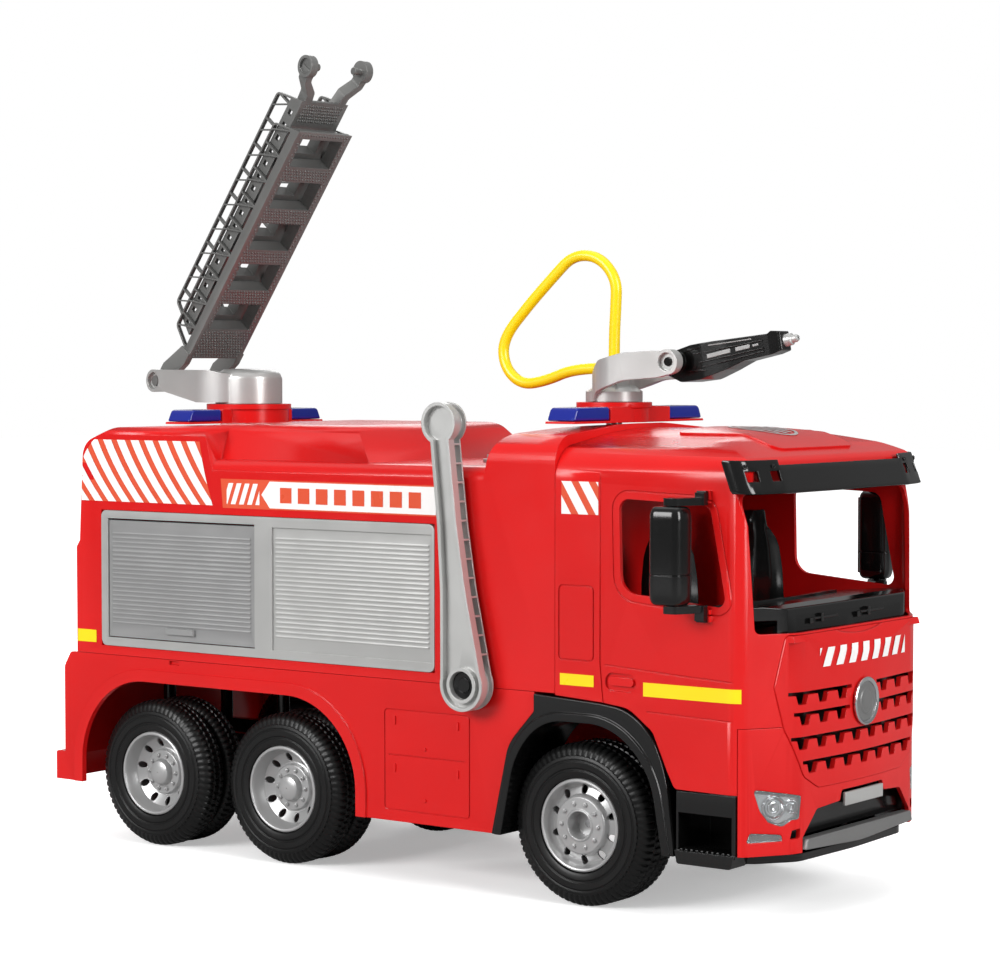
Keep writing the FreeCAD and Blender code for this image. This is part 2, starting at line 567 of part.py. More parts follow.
def beacons():
    solids = []
    for centre_x, half, red_half, low, high in BARS.values():
        foot = low + BAR_FLOOR + SEAM
        for side in (-1, 1):
            outline = [(side * (half - 1.0), foot), (side * (half - 5.5), high, 4.5),
                       (side * (red_half + SEAM), high), (side * (red_half + SEAM), foot)]
            solids.append(slab(outline, "X", centre_x - 11.6, centre_x + 11.6))
    return Part.Compound(solids)


# ---- turntables -----------------------------------------------------------------------
def fork(radius, offset, reach, profile, eye_z, eye_r, pin_r):
    """A horseshoe with two arms towards +x, each ending in an eye with an open pocket on its outer face."""
    wall = 5.0
    outer = [(offset - radius, -radius, radius * 0.97), (reach + 20, -radius), (reach + 20, radius),
             (offset - radius, radius, radius * 0.97)]
    inner = [(offset - radius + wall, wall - radius, radius * 0.97 - wall), (reach + 30, wall - radius),
             (reach + 30, radius - wall), (offset - radius + wall, radius - wall, radius * 0.97 - wall)]
    shoe = slab(outer, "Z", 300, 400).cut(slab(inner, "Z", 290, 410)).common(slab(profile, "Y", -90, 90))
    pieces, pockets = [shoe], []
    for side in (-1, 1):
        pieces.append(rod(eye_r, (reach, side * radius, eye_z),
                          (reach, side * (radius - wall - 3.6), eye_z)))
        pockets.append(rod(eye_r - 2.2, (reach, side * (radius + 1), eye_z),
                           (reach, side * (radius - 3.2), eye_z)))
        pockets.append(rod(pin_r + RUNNING, (reach, side * (radius + 1), eye_z), (reach, side * 5, eye_z)))
    return trim(fuse(pieces), pockets)


def ladder_place(shape):
    """From the ladder turntable's own frame (arms towards -x) to where it stands at rest."""
    return moved(turned(shape, LADDER_TURN), x=LADDER_TURRET[0])


def ladder_turntable():
    base = LADDER_TURRET[1] + SEAM
    profile = [(-16.0, base + 1.0), (-16.0, 357.0, 5.0), (8.0, 362.0, 10.0), (60.0, 362.3),
               (84.0, 362.3, 8.5),
               (84.0, 344.7, 8.5), (60.0, 344.7, 6.0), (20.0, base + 1.0)]
    arms = turned(fork(37.0, 21.0, LADDER_REACH, profile, LADDER_PIVOT_Z, 9.0, 4.0), 180)
    hub = ring([(0.0, base), (26.3, base), (26.3, 355.0), (24.5, 359.5), (20.0, 362.2), (13.0, 363.0),
                (0.0, 363.0)],
               (0, 0, 0), (0, 0, 1))
    spigot = fuse([rod(11.5, (0, 0, 314.0), (0, 0, base + 1)), rod(15.0, (0, 0, 311.6), (0, 0, 315.4))])
    web = box((-50.0, -15.0), (-3.0, 3.0), (base + 2, 350.0)).common(slab(inset(
        [(-58.0, -37.0, 30.0), (30.0, -37.0), (30.0, 37.0), (-58.0, 37.0, 30.0)], 3.0), "Z", 300, 400))
    return ladder_place(fuse([arms, hub, spigot, web]))


def cannon_turntable():
    base = CANNON_TURRET[1] + SEAM
    profile = [(-13.0, base + 0.5), (-13.0, 357.5, 3.0), (-6.0, 360.0), (3.0, 369.0, 10.0),
               (25.0, 374.3, 30.0), (50.0, 375.6, 20.0), (71.0, 375.0, 7.5), (71.0, 360.5, 7.5),
               (54.0, 357.0, 10.0), (25.0, 355.0, 20.0), (-2.0, 346.0, 8.0), (-2.0, base + 0.5)]
    arms = fork(28.5, 16.0, CANNON_REACH, profile, CANNON_PIVOT_Z, 8.6, 3.0)
    hub = ring([(0.0, base), (20.3, base), (20.3, 347.0), (15.0, 351.0), (0.0, 351.0)], (0, 0, 0),
               (0, 0, 1))
    block = box((-8.0, 8.0), (-8.0, 8.0), (350.0, 367.5))
    spigot = fuse([rod(5.7, (0, 0, 318.0), (0, 0, base + 1)), rod(8.0, (0, 0, 314.0), (0, 0, 318.2))])
    web = box((-9.0, -6.0), (-12.0, 12.0), (base, 356.0))
    shape = fuse([arms, hub, block, spigot, web])
    return moved(shape, x=CANNON_TURRET[0])


def gun_place(shape):
    """From the gun's own frame (pivot at the origin, barrel along +x) to its rest tilt."""
    shape = turned(shape, -CANNON_TILT, (0, 1, 0))
    return moved(shape, CANNON_TURRET[0] + CANNON_REACH, 0, CANNON_PIVOT_Z)


def gun_body():
    side = [(-13.0, -6.0, 3.0), (-10.0, 7.0, 4.0), (12.0, 9.5, 8.0), (30.0, 9.0, 10.0), (70.0, 6.5, 2.0),
            (73.0, 8.0, 2.0), (80.0, 6.5, 2.0), (80.0, -6.5, 2.0), (72.0, -8.0, 2.0), (50.0, -8.5, 8.0),
            (36.0, -12.0, 8.0), (16.0, -15.5, 5.0), (0.0, -14.5, 6.0)]
    half = [(-13.0, 12.0, 5.0), (20.0, 13.5, 10.0), (38.0, 9.5, 12.0), (70.0, 6.5, 2.0), (80.0, 7.0, 2.0)]
    plan = [(x, -y, radius) for x, y, radius in half] + list(reversed(half))
    body = slab(side, "Y", -30, 30).common(slab(plan, "Z", -40, 40))
    trunnions = rod(3.0, (0, -26.5, 0), (0, 26.5, 0))
    shoulders = rod(6.5, (0, -19.4, 0), (0, 19.4, 0))
    body = fuse([body, trunnions, shoulders]).cut(rod(3.4, (55, 0, 0), (90, 0, 0)))
    return gun_place(body)


def gun_nozzle():
    nozzle = ring([(0.9, 60.0), (3.4, 60.0), (3.4, 80.0), (4.4, 80.0), (4.1, 85.0), (2.7, 86.0),
                   (2.7, 88.5), (1.9, 90.0), (0.9, 90.0)], (0, 0, 0), (1, 0, 0))
    return gun_place(nozzle)


# ---- ladder ---------------------------------------------------------------------------
# In the ladder's own frame x runs along it from the pivot, y across it and z is its depth.
LOWER = {"s": (34.0, 252.0), "n": (-14.0, 15.0), "y": (23.6, 26.6), "strip": -5.5, "slant": 11.0}
UPPER = {"s": (46.0, 270.0), "n": (0.8, 30.0), "y": (19.9, 22.9), "strip": 13.5, "slant": 11.0}
BAY = 23.6                       # from rung to rung of a side frame
BAR = 1.5                        # thickness of the rungs and diagonals
OPENINGS = [75.8 + 39.3 * index for index in range(5)]
LOWER_OPENING = (12.7, 20.0)     # half lengths along and across
UPPER_OPENING = (9.5, 13.5)
HEAD = (296.6, 7.1)              # x and z of the ladder's two heads
HEAD_Y = (24.3, 30.6)
LEG_Y = (22.5, 28.0)


def raised(shape):
    """From the ladder's own frame to its rest place."""
    shape = turned(shape, -LADDER_TILT, (0, 1, 0))
    return ladder_place(moved(shape, -LADDER_REACH, 0, LADDER_PIVOT_Z))


def side_frame(s, n, y, strip, slant):
    """The left-hand frame: a solid strip at the front, then thin rungs, each with a diagonal."""
    outline = [(s[0], n[0]), (s[1], n[0]), (s[1] - slant, n[1], 5.0), (s[0] + slant, n[1], 5.0)]
    field = slab(inset(outline, BAR), "Y", y[0] - 1, y[1] + 1)
    field = field.common(box((s[0], s[1]), (0, 60), (strip, n[1])))
    bars = []
    for index in range(int((s[1] - s[0]) // BAY) + 1):
        x = s[0] + index * BAY
        bars.append(box((x, x + BAR), (0, 60), (strip - 1, n[1] + 1)))
        bars.append(slab([(x + BAY, strip - 1), (x + BAY + BAR, strip - 1),
                          (x + BAY * 0.45 + BAR, n[1] + 1),
                          (x + BAY * 0.45, n[1] + 1)], "Y", 0, 60))
    return slab(outline, "Y", *y).cut(trim(field, bars))


def section(form, opening, walls_to):
    """Two side frames and the front plate between them, with a wall round each opening of the plate."""
    frame = side_frame(**form)
    reach, front = form["y"][0] + 0.5, form["n"][0]
    pieces = [frame, mirrored(frame), box(form["s"], (-reach, reach), (front, front + 2.3))]
    along, across = opening
    for x in OPENINGS:
        pieces.append(box((x - along - BAR, x + along + BAR), (-across - BAR, across + BAR),
                          (front, walls_to)))
    holes = [box((x - along, x + along), (-across, across), (front - 1, walls_to + 1)) for x in OPENINGS]
    return trim(fuse(pieces), holes)


def ladder_lower():
    leg = slab([(-7.5, -7.0, 7.0), (-7.5, 7.5, 7.0), (12.0, 7.5, 6.0), (38.0, -3.0), (38.0, -14.0),
                (28.0, -14.0, 8.0), (8.0, -7.5, 4.0)], "Y", *LEG_Y)
    pin = rod(4.0, (0, LEG_Y[1] - 2, 0), (0, 35.5, 0))
    pieces = [section(LOWER, LOWER_OPENING, -1.8)]
    for piece in (leg, pin):
        pieces += [piece, mirrored(piece)]
    return raised(fuse(pieces))


def ladder_upper():
    x, z = HEAD
    arm = slab([(262.0, 12.0), (278.0, 15.0, 4.0), (287.0, 23.5, 4.0), (x, HEAD_Y[0]), (x, HEAD_Y[1] - 0.4),
                (285.0, 28.5, 4.0), (275.0, 20.5, 4.0), (262.0, 19.5)], "Z", UPPER["n"][0], 10.5)
    head = rod(8.4, (x, HEAD_Y[0], z), (x, HEAD_Y[1], z)).cut(rod(6.0, (x, HEAD_Y[1] - 2, z),
                                                                  (x, HEAD_Y[1] + 1, z)))
    pin = rod(2.8, (x, 17.5, z), (x, HEAD_Y[0] + 0.5, z))
    body = section(UPPER, UPPER_OPENING, 12.0)
    pocket = BAY / 2
    for index in range(18):
        low = UPPER["s"][0] + 6.0 + index * pocket
        body = body.cut(box((low, low + 4.5), (-40, 40),
                            (5.5, 10.0)).cut(box((0, 300), (-19, 19), (0, 20))))
    pieces = [body]
    for piece in (arm, head, pin):
        pieces += [piece, mirrored(piece)]
    return raised(fuse(pieces))


# ---- pump -----------------------------------------------------------------------------
FILLER = (44.0, -36.0)


LEVER_LENGTH = math.hypot(LEVER_HEAD[0] - LEVER_PIVOT[0], LEVER_HEAD[1] - LEVER_PIVOT[1])
LEVER_TRAY = -125.6              # y of the back of the lever's front tray
LEVER_RIBS = [20.0 + 13.2 * index for index in range(12)]


def lever_form(shrink, y):
    """A tapered bar between two discs, in the lever's own frame: pivot at the origin, head up."""
    right = [(17.2 - shrink, 4.0), (10.6 - shrink, 66.0, 200.0), (8.2 - shrink, 110.0, 200.0),
             (7.8 - shrink, LEVER_LENGTH)]
    left = [(-corner[0], *corner[1:]) for corner in reversed(right)]
    low = rod(18.0 - shrink, (0, y[0], 0), (0, y[1], 0))
    head = rod(14.5 - shrink, (0, y[0], LEVER_LENGTH), (0, y[1], LEVER_LENGTH))
    return fuse([slab(right + left, "Y", *y), low, head])


def pump_lever():
    """A dished front tray, and behind it a spine with ribs out to the edges and a thin back plate."""
    y0, y1 = LEVER_Y
    tray = lever_form(0.0, (y0, LEVER_TRAY)).cut(lever_form(2.4, (y0 - 1, y0 + 4.4)))
    back = lever_form(0.0, (y1 - 1.2, y1))
    spine = box((-2.5, 2.5), (LEVER_TRAY - 0.5, y1 - 0.6), (0, LEVER_LENGTH))
    ribs = [box((-20, 20), (LEVER_TRAY - 0.5, y1 - 0.6), (z - 0.7, z + 0.7)).common(lever_form(0.0, LEVER_Y))
            for z in LEVER_RIBS]
    ends = [rod(15.0, (0, LEVER_TRAY - 0.5, 0), (0, y1 - 0.6, 0)),
            rod(11.5, (0, LEVER_TRAY - 0.5, LEVER_LENGTH), (0, y1 - 0.6, LEVER_LENGTH))]
    rim = tube(12.4, 9.8, (0, LEVER_TRAY - 0.5, 0), (0, y0, 0))
    boss = rod(9.0, (0, y0 + 5.5, 0), (0, y1, 0))
    solid = fuse([tray, back, spine, rim, boss] + ribs + ends).cut(rod(5.0, (0, -200, 0), (0, 0, 0)))
    lean = math.degrees(math.atan2(LEVER_HEAD[0] - LEVER_PIVOT[0], LEVER_HEAD[1] - LEVER_PIVOT[1]))
    return moved(turned(solid, lean, (0, 1, 0)), x=LEVER_PIVOT[0], z=LEVER_PIVOT[1])


def pump_shaft():
    x, z = LEVER_PIVOT
    pin_x = x - CRANK_R
    shaft = rod(5.0, (x, LEVER_Y[0] + 3.5, z), (x, -73.0, z))
    hub = rod(8.0, (x, -79.0, z), (x, -73.0, z))
    arm = box((pin_x, x), (-79.0, -73.0), (z - 5, z + 5))
    pin_boss = rod(5.0, (pin_x, -79.0, z), (pin_x, -73.0, z))
    pin = rod(3.0, (pin_x, -74.0, z), (pin_x, PUMP_Y + 5.0, z))
    return fuse([shaft, hub, arm, pin_boss, pin])


BARREL_Z = (178.0, 232.0)


def pump_plunger():
    x, z = LEVER_PIVOT[0] - CRANK_R, LEVER_PIVOT[1]
    yoke = box((x - 10, x + 10), (PUMP_Y - 4, PUMP_Y + 4), (z - 6.8, z + 6.8))
    yoke = yoke.cut(box((x - 7, x + 7), (-90, -40), (z - 3.35, z + 3.35)))
    stem = rod(3.0, (x, PUMP_Y, z + 6), (x, PUMP_Y, 200.0))
    piston = rod(9.9, (x, PUMP_Y, 199.0), (x, PUMP_Y, 208.0))
    return fuse([yoke, stem, piston])


def pump_barrel():
    x, z = LEVER_PIVOT[0] - CRANK_R, LEVER_PIVOT[1]
    low, high = BARREL_Z
    barrel = rod(13.0, (x, PUMP_Y, low), (x, PUMP_Y, high))
    outlet = rod(INNER_HOSE_R, (x, PUMP_Y, high - 1), (x, PUMP_Y, high + 6))
    inlet = rod(3.5, (x - 8, PUMP_Y, high - 8), (TANK_X[1], PUMP_Y, high - 8))
    back = box((x - 8, x + 8), (PUMP_Y + 12.5, PUMP_Y + 17.0), (DECK_Z[1], low + 20))
    foot = box((x - 10, LEVER_PIVOT[0] + 12), (-88.0, PUMP_Y + 17.0), (DECK_Z[1], DECK_Z[1] + 2))
    bearing = box((LEVER_PIVOT[0] - 9, LEVER_PIVOT[0] + 9), (-88.0, -82.0), (DECK_Z[1], z + 10))
    body = fuse([barrel, outlet, inlet, back, foot, bearing])
    return trim(body, [rod(10.0, (x, PUMP_Y, low + 3), (x, PUMP_Y, high - 3)),
                       rod(3.0 + RUNNING, (x, PUMP_Y, low - 5),
                       (x, PUMP_Y, low + 5)), rod(5.0 + RUNNING, (LEVER_PIVOT[0], -95, z),
                                                  (LEVER_PIVOT[0], -70, z))])


TANK_X = (-96.0, 48.0)


def water_tank():
    body = slab([(TANK_X[0], -72.0, 8.0), (TANK_X[1], -72.0, 8.0), (TANK_X[1], 72.0, 8.0),
                 (TANK_X[0], 72.0, 8.0)], "Z",
                DECK_Z[1], 262.0)
    inside = slab([(TANK_X[0] + 2, -70.0, 6.0), (TANK_X[1] - 2, -70.0, 6.0), (TANK_X[1] - 2, 70.0, 6.0),
                   (TANK_X[0] + 2, 70.0, 6.0)], "Z", DECK_Z[1] + 2, 260.0)
    x, y = min(FILLER[0], TANK_X[1] - 12), FILLER[1]
    neck = slab([(x - 9, y - 9, 8.9), (FILLER[0] + 9, y - 9, 8.9), (FILLER[0] + 9, y + 9, 8.9),
                 (x - 9, y + 9, 8.9)], "Z",
                258.0, 281.0)
    bore = rod(6.5, (FILLER[0] - 3, y, 259.0), (FILLER[0] - 3, y, 290.0))
    return trim(fuse([body, neck]), [inside, bore])


def filler_cap():
    x, y = FILLER
    plug = rod(9.0, (x, y, 282.0), (x, y, 296.2))
    lid = rod(11.0, (x, y, 296.2), (x, y, 298.4))
    grip = box((x - 9, x + 9), (y - 1.5, y + 1.5), (298.0, 301.5))
    return fuse([plug, lid, grip])


INNER_HOSE = [(68.8, -64.0, 238.0), (68.8, -64.0, 258.0), (79.0, -51.2, 274.0), (109.8, -12.8, 278.0),
              (120.0, 0.0, 294.0), (120.0, 0.0, 313.7)]
HOSE = [(118.0, 3.0, 367.5), (118.0, 3.0, 387.0), (119.5, 2.7, 407.0), (120.5, 2.2, 427.0),
        (105.6, 1.6, 443.5), (83.5, 1.0, 444.7), (67.0, 0.4, 429.8), (46.0, -0.3, 410.0),
        (22.5, -1.2, 385.0), (24.3, -1.8, 364.6), (40.0, -2.4, 351.4), (62.0, -2.8, 354.2),
        (88.0, -3.0, 363.4), (112.0, -3.0, 363.4)]


# ---- wheels ---------------------------------------------------------------------------
def tyre(x, width):
    """A right-hand tyre; the wide ones are moulded as a pair with a groove between them."""
    outer = -WHEEL_FACE_Y
    r, rim = WHEEL_R, RIM_R
    profile = [(rim, 2.0), (rim + 3, 0.6), (r - 9, 0.0), (r - 3.5, 2.5), (r, 7.0)]
    if width > 45:
        profile += [(r, 22.0), (r - 5, 23.5), (r - 5, 25.5), (r, 27.0)]
    profile += [(r, width - 7), (r - 3.5, width - 2.5), (r - 9, width), (rim + 3, width - 0.6),
                (rim, width - 2)]
    return ring(profile, (x, outer, WHEEL_R), (0, 1, 0))


def rim(x, width, cup):
    """A right-hand rim: a dished disc with ten holes and either an open round cup or a domed hub."""
    outer = -WHEEL_FACE_Y
    r = RIM_R
    profile = [(AXLE_R, 40.0), (AXLE_R, 12.0 if cup else 14.0)]
    if cup:
        profile += [(9.0, 12.0), (9.0, 1.0), (10.5, 0.2), (19.5, 0.8), (21.0, 3.0), (26.0, 9.0)]
    else:
        profile += [(8.0, 9.0), (12.5, 10.5), (13.5, 14.5), (18.0, 15.5), (26.0, 10.0)]
    profile += [(28.5, 4.0), (r - 1.0, 0.8), (r, 2.0), (r, width - 2.0), (r - 2, width - 2.0),
                (r - 2, 24.0), (24.0, 24.0),
                (12.0, 28.0), (12.0, 40.0)]
    disc = ring(profile, (x, outer, WHEEL_R), (0, 1, 0))
    mouth = 23.6 if cup else 22.5
    holes = []
    for index in range(10):
        angle = math.radians(36 * index + 18)
        hx, hz = x + mouth * math.cos(angle), WHEEL_R + mouth * math.sin(angle)
        holes.append(rod(3.0, (hx, outer - 5, hz), (hx, outer + 35, hz)))
    return trim(disc, holes)


def axle(x):
    half = WHEEL_FACE_Y - 13.0
    return rod(AXLE_R, (x, -half, WHEEL_R), (x, half, WHEEL_R))


# ---- mirrors --------------------------------------------------------------------------
MIRROR_AXIS = (257.0, -137.0)
MIRROR_PADS = ((270.0, 280.6), (270.0, 203.5))
MIRROR_Z = (211.0, 275.0)


def mirror():
    x, y = MIRROR_AXIS
    plan = [(x - 13, y - 7, 5), (x - 9, y - 11, 5), (x + 10, y - 9, 4), (x + 13, y + 8, 3),
            (x - 11, y + 9, 4)]
    body = slab(plan, "Z", *MIRROR_Z)
    face = slab([(y - 8, MIRROR_Z[0] + 3, 3), (y + 6, MIRROR_Z[0] + 3, 3), (y + 6, MIRROR_Z[1] - 3, 3),
                 (y - 8, MIRROR_Z[1] - 3, 3)], "X", x - 20, x - 11.2)
    pins = rod(2.0, (x, y, MIRROR_Z[0] - 5), (x, y, MIRROR_Z[1] + 5))
    return fuse([body.cut(face), pins])


def mirror_brackets():
    x, y = MIRROR_AXIS
    solids = []
    for (pad_x, pad_z), edge in zip(MIRROR_PADS, (MIRROR_Z[1] + SEAM, MIRROR_Z[0] - SEAM - 5.0)):
        arm = slab([(x - 5, y - 5, 4), (x + 6, y - 5, 4), (pad_x + 3, -SIDE_Y - 3.2, 1),
                    (pad_x - 4, -SIDE_Y - 3.2, 1),
                    (x - 5, y + 5, 4)], "Z", edge, edge + 5.0)
        foot = box((pad_x - 4, pad_x + 3), (-SIDE_Y - 6.0, -SIDE_Y - 3.2), (pad_z - 4, pad_z + 4))
        riser = box((pad_x - 4, pad_x + 3), (-SIDE_Y - 8.0, -SIDE_Y - 3.2),
                    (min(pad_z - 3, edge), max(pad_z + 3, edge + 5)))
        arm = fuse([arm, foot, riser]).cut(rod(2.0 + RUNNING, (x, y, edge - 3), (x, y, edge + 8)))
        solids += [arm, mirrored(arm)]
    return Part.Compound(solids)


# ---- assembly -------------------------------------------------------------------------
def build():
    keep("lower_body", lower_body())
    keep("underframe", underframe())
    keep("screws", screws())
    keep("upper_body", upper_body())
    both_sides("shutter_frame", shutter_frame())
    both_sides("shutter_door", shutter_door())

    keep("cab_shell", cab_shell())
    keep("cab_floor", cab_floor())
    keep("dashboard", dashboard())
    keep("seats", Part.Compound([seat(), mirrored(seat())]))
    keep("visor", visor())
    keep("front_panel", front_panel())
    keep("bumper", bumper())
    keep("grille_backing", grille_backing())
    keep("badge", rod(16.3, (FRONT_X - 1.4, 0, 140.8), (FRONT_X, 0, 140.8)))
    keep("number_plate", box((321.0, 323.4), (-26.0, 26.0), (73.0, 82.0)))
    bar = [(-73.2, 50.0), (-71.0, 57.0, 1.0), (71.0, 57.0, 1.0), (73.2, 50.0), (0.0, 46.4, 200.0)]
    keep("skid_bar", slab(bar, "X", 313.5, 321.0))
    skin = front_skin()
    lamps = Part.Compound([skin.common(slab(outline, "X", 280, 400)) for outline in (LAMP, FOG)])
    both_sides("headlight", lamps)
    both_sides("front_fender", fender())
    both_sides("step", step())

    for name, turret, collar_r, bore in (("rear", LADDER_TURRET, 33.2, 11.5),
                                         ("front", CANNON_TURRET, 27.0, 5.7)):
        keep("light_bar_" + name, light_bar(*BARS[name], turret, collar_r, bore + RUNNING))
    keep("beacons", beacons())

    for name, (x, width) in WHEELS.items():
        keep(name + "_axle", axle(x))
        both_sides(name + "_tyre", tyre(x, width))
        both_sides(name + "_rim", rim(x, width, name == "front"))

    keep("ladder_turntable", ladder_turntable())
    keep("ladder_lower", ladder_lower())
    keep("ladder_upper", ladder_upper())
    keep("cannon_turntable", cannon_turntable())
    keep("cannon_body", gun_body())
    keep("cannon_nozzle", gun_nozzle())
    keep("hose", hose_tube(HOSE, HOSE_R, "hose"))

    keep("pump_lever", pump_lever())
    keep("pump_shaft", pump_shaft())
    keep("pump_plunger", pump_plunger())
    keep("pump_barrel", pump_barrel())
    keep("water_tank", water_tank())
    keep("filler_cap", filler_cap())
    keep("inner_hose", hose_tube(INNER_HOSE, INNER_HOSE_R, "inner_hose"))

    both_sides("mirror", mirror())
    keep("mirror_brackets", mirror_brackets())


build()
os.makedirs("parts", exist_ok=True)
for node, shape in PARTS.items():
    shape.exportStep(os.path.join("parts", node + ".step"))
print(len(PARTS), "nodes")
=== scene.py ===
import json
import math

import bmesh
import bpy
from mathutils import Matrix, Vector
from mathutils.bvhtree import BVHTree


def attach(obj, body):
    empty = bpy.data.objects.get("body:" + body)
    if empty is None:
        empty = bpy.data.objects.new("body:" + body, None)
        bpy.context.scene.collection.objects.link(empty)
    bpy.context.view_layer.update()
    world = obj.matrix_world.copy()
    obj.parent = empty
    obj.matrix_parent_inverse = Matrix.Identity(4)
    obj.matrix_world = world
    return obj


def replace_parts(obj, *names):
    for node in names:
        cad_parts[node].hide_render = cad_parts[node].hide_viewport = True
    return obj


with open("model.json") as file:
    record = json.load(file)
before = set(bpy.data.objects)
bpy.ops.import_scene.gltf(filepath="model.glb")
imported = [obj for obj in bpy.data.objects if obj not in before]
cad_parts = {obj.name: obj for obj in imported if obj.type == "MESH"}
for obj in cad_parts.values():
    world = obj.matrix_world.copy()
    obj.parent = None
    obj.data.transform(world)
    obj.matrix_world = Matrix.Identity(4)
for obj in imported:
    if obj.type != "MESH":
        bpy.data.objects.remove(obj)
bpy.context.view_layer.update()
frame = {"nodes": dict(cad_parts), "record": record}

MM = 0.001
SIDES = (-1, 1)                   # right and left
SIDE_Y = 115.6                    # body side, as in the CAD
WHEELS = {"rear": (-227.9, 50.0), "middle": (-98.3, 50.0), "front": (166.1, 42.0)}
WHEEL_FACE_Y = 111.3
WHEEL_R = 55.5
LADDER_PIVOT = (-227.0, 353.5)
LADDER_REACH = 75.0
LADDER_TURN = -9.0
LADDER_TILT = 51.3
GUN_PIVOT = (182.0, 0.0, 368.0)
GUN_TILT = 10.4
HOSE_R = 4.0
HOSE = [(118.0, 3.0, 367.5), (118.0, 3.0, 387.0), (119.5, 2.7, 407.0), (120.5, 2.2, 427.0),
        (105.6, 1.6, 443.5), (83.5, 1.0, 444.7), (67.0, 0.4, 429.8), (46.0, -0.3, 410.0),
        (22.5, -1.2, 385.0), (24.3, -1.8, 364.6), (40.0, -2.4, 351.4), (62.0, -2.8, 354.2),
        (88.0, -3.0, 363.4), (112.0, -3.0, 363.4)]


def tag_of(side):
    return "left" if side > 0 else "right"


def linked(name, data):
    item = bpy.data.objects.new(name, data)
    bpy.context.collection.objects.link(item)
    return item


# ---- camera, light and floor ------------------------------------------------------------
EYE_PLACE = (1.1963, -1.5969, 0.3642)
EYE_TURN = 36.4
EYE_DOWN = 2.53
EYE_LENS = 97.2
PURE_WHITE = (1.0, 1.0, 1.0, 1.0)
ROOM_HEIGHTS = (-0.1, 0.9)        # the world's height at which its light is least and greatest
ROOM_LIGHT = (0.20, 0.55)
FLOOR_REACH = (0.15, 1.1)         # metres from the origin over which the floor's painted glow rises to white, leaving painted shadow round the object
# emission strength of the floor's painted glow, near and far: lower near the object as painted shadow
FLOOR_PAINTED_GLOW = (0.36, 0.80)
FLOOR_DIFFUSE = 0.40
# name: place, target, size and power
LAMPS = {"key": ((-0.7, -2.6, 1.25), (0.0, 0.0, 0.2), (1.6, 1.0), 68.0),
         "front": ((2.6, -0.4, 1.1), (0.1, 0.0, 0.2), (0.9, 1.4), 52.0),
         "top": ((0.0, 0.2, 2.6), (0.0, 0.0, 0.2), (2.4, 1.8), 12.0),
         "back": ((-1.8, 1.8, 1.4), (0.0, 0.0, 0.25), (1.6, 1.2), 15.0)}


def camera():
    turn, down = math.radians(EYE_TURN), math.radians(EYE_DOWN)
    data = bpy.data.cameras.new("camera")
    data.lens = EYE_LENS
    data.sensor_width = 36.0
    data.clip_end = 50.0
    eye = linked("camera", data)
    eye.location = EYE_PLACE
    look = Vector((-math.sin(turn) * math.cos(down), math.cos(turn) * math.cos(down), -math.sin(down)))
    eye.rotation_euler = look.to_track_quat("-Z", "Y").to_euler()
    bpy.context.scene.camera = eye


def lamp(name, place, target, size, power):
    data = bpy.data.lights.new(name, "AREA")
    data.shape = "RECTANGLE"
    data.size, data.size_y = size
    data.energy = power
    light = linked(name, data)
    light.location = place
    light.rotation_euler = (Vector(target) - Vector(place)).to_track_quat("-Z", "Y").to_euler()


def map_range(tree, value, start, end):
    """Remaps a value from one (low, high) range to another."""
    node = tree.nodes.new("ShaderNodeMapRange")
    node.inputs["From Min"].default_value, node.inputs["From Max"].default_value = start
    node.inputs["To Min"].default_value, node.inputs["To Max"].default_value = end
    tree.links.new(value, node.inputs["Value"])
    return node.outputs["Result"]


def seen_apart(tree, others, seen, output):
    """Shows one shader to the camera and another to every other ray."""
    ray = tree.nodes.new("ShaderNodeLightPath")
    either = tree.nodes.new("ShaderNodeMixShader")
    tree.links.new(ray.outputs["Is Camera Ray"], either.inputs["Fac"])
    tree.links.new(others, either.inputs[1])
    tree.links.new(seen, either.inputs[2])
    tree.links.new(either.outputs["Shader"], tree.nodes[output].inputs["Surface"])


def backdrop():
    """A white backdrop, with a dimmer room round the object that is brightest overhead."""
    world = bpy.data.worlds.new("studio")
    world.use_nodes = True
    tree = world.node_tree
    room = tree.nodes["Background"]
    room.inputs["Color"].default_value = PURE_WHITE
    place = tree.nodes.new("ShaderNodeTexCoord")
    split = tree.nodes.new("ShaderNodeSeparateXYZ")
    tree.links.new(place.outputs["Generated"], split.inputs["Vector"])
    tree.links.new(map_range(tree, split.outputs["Z"], ROOM_HEIGHTS, ROOM_LIGHT), room.inputs["Strength"])
    plain = tree.nodes.new("ShaderNodeBackground")
    plain.inputs["Color"].default_value = PURE_WHITE
    seen_apart(tree, room.outputs["Background"], plain.outputs["Background"], "World Output")
    bpy.context.scene.world = world


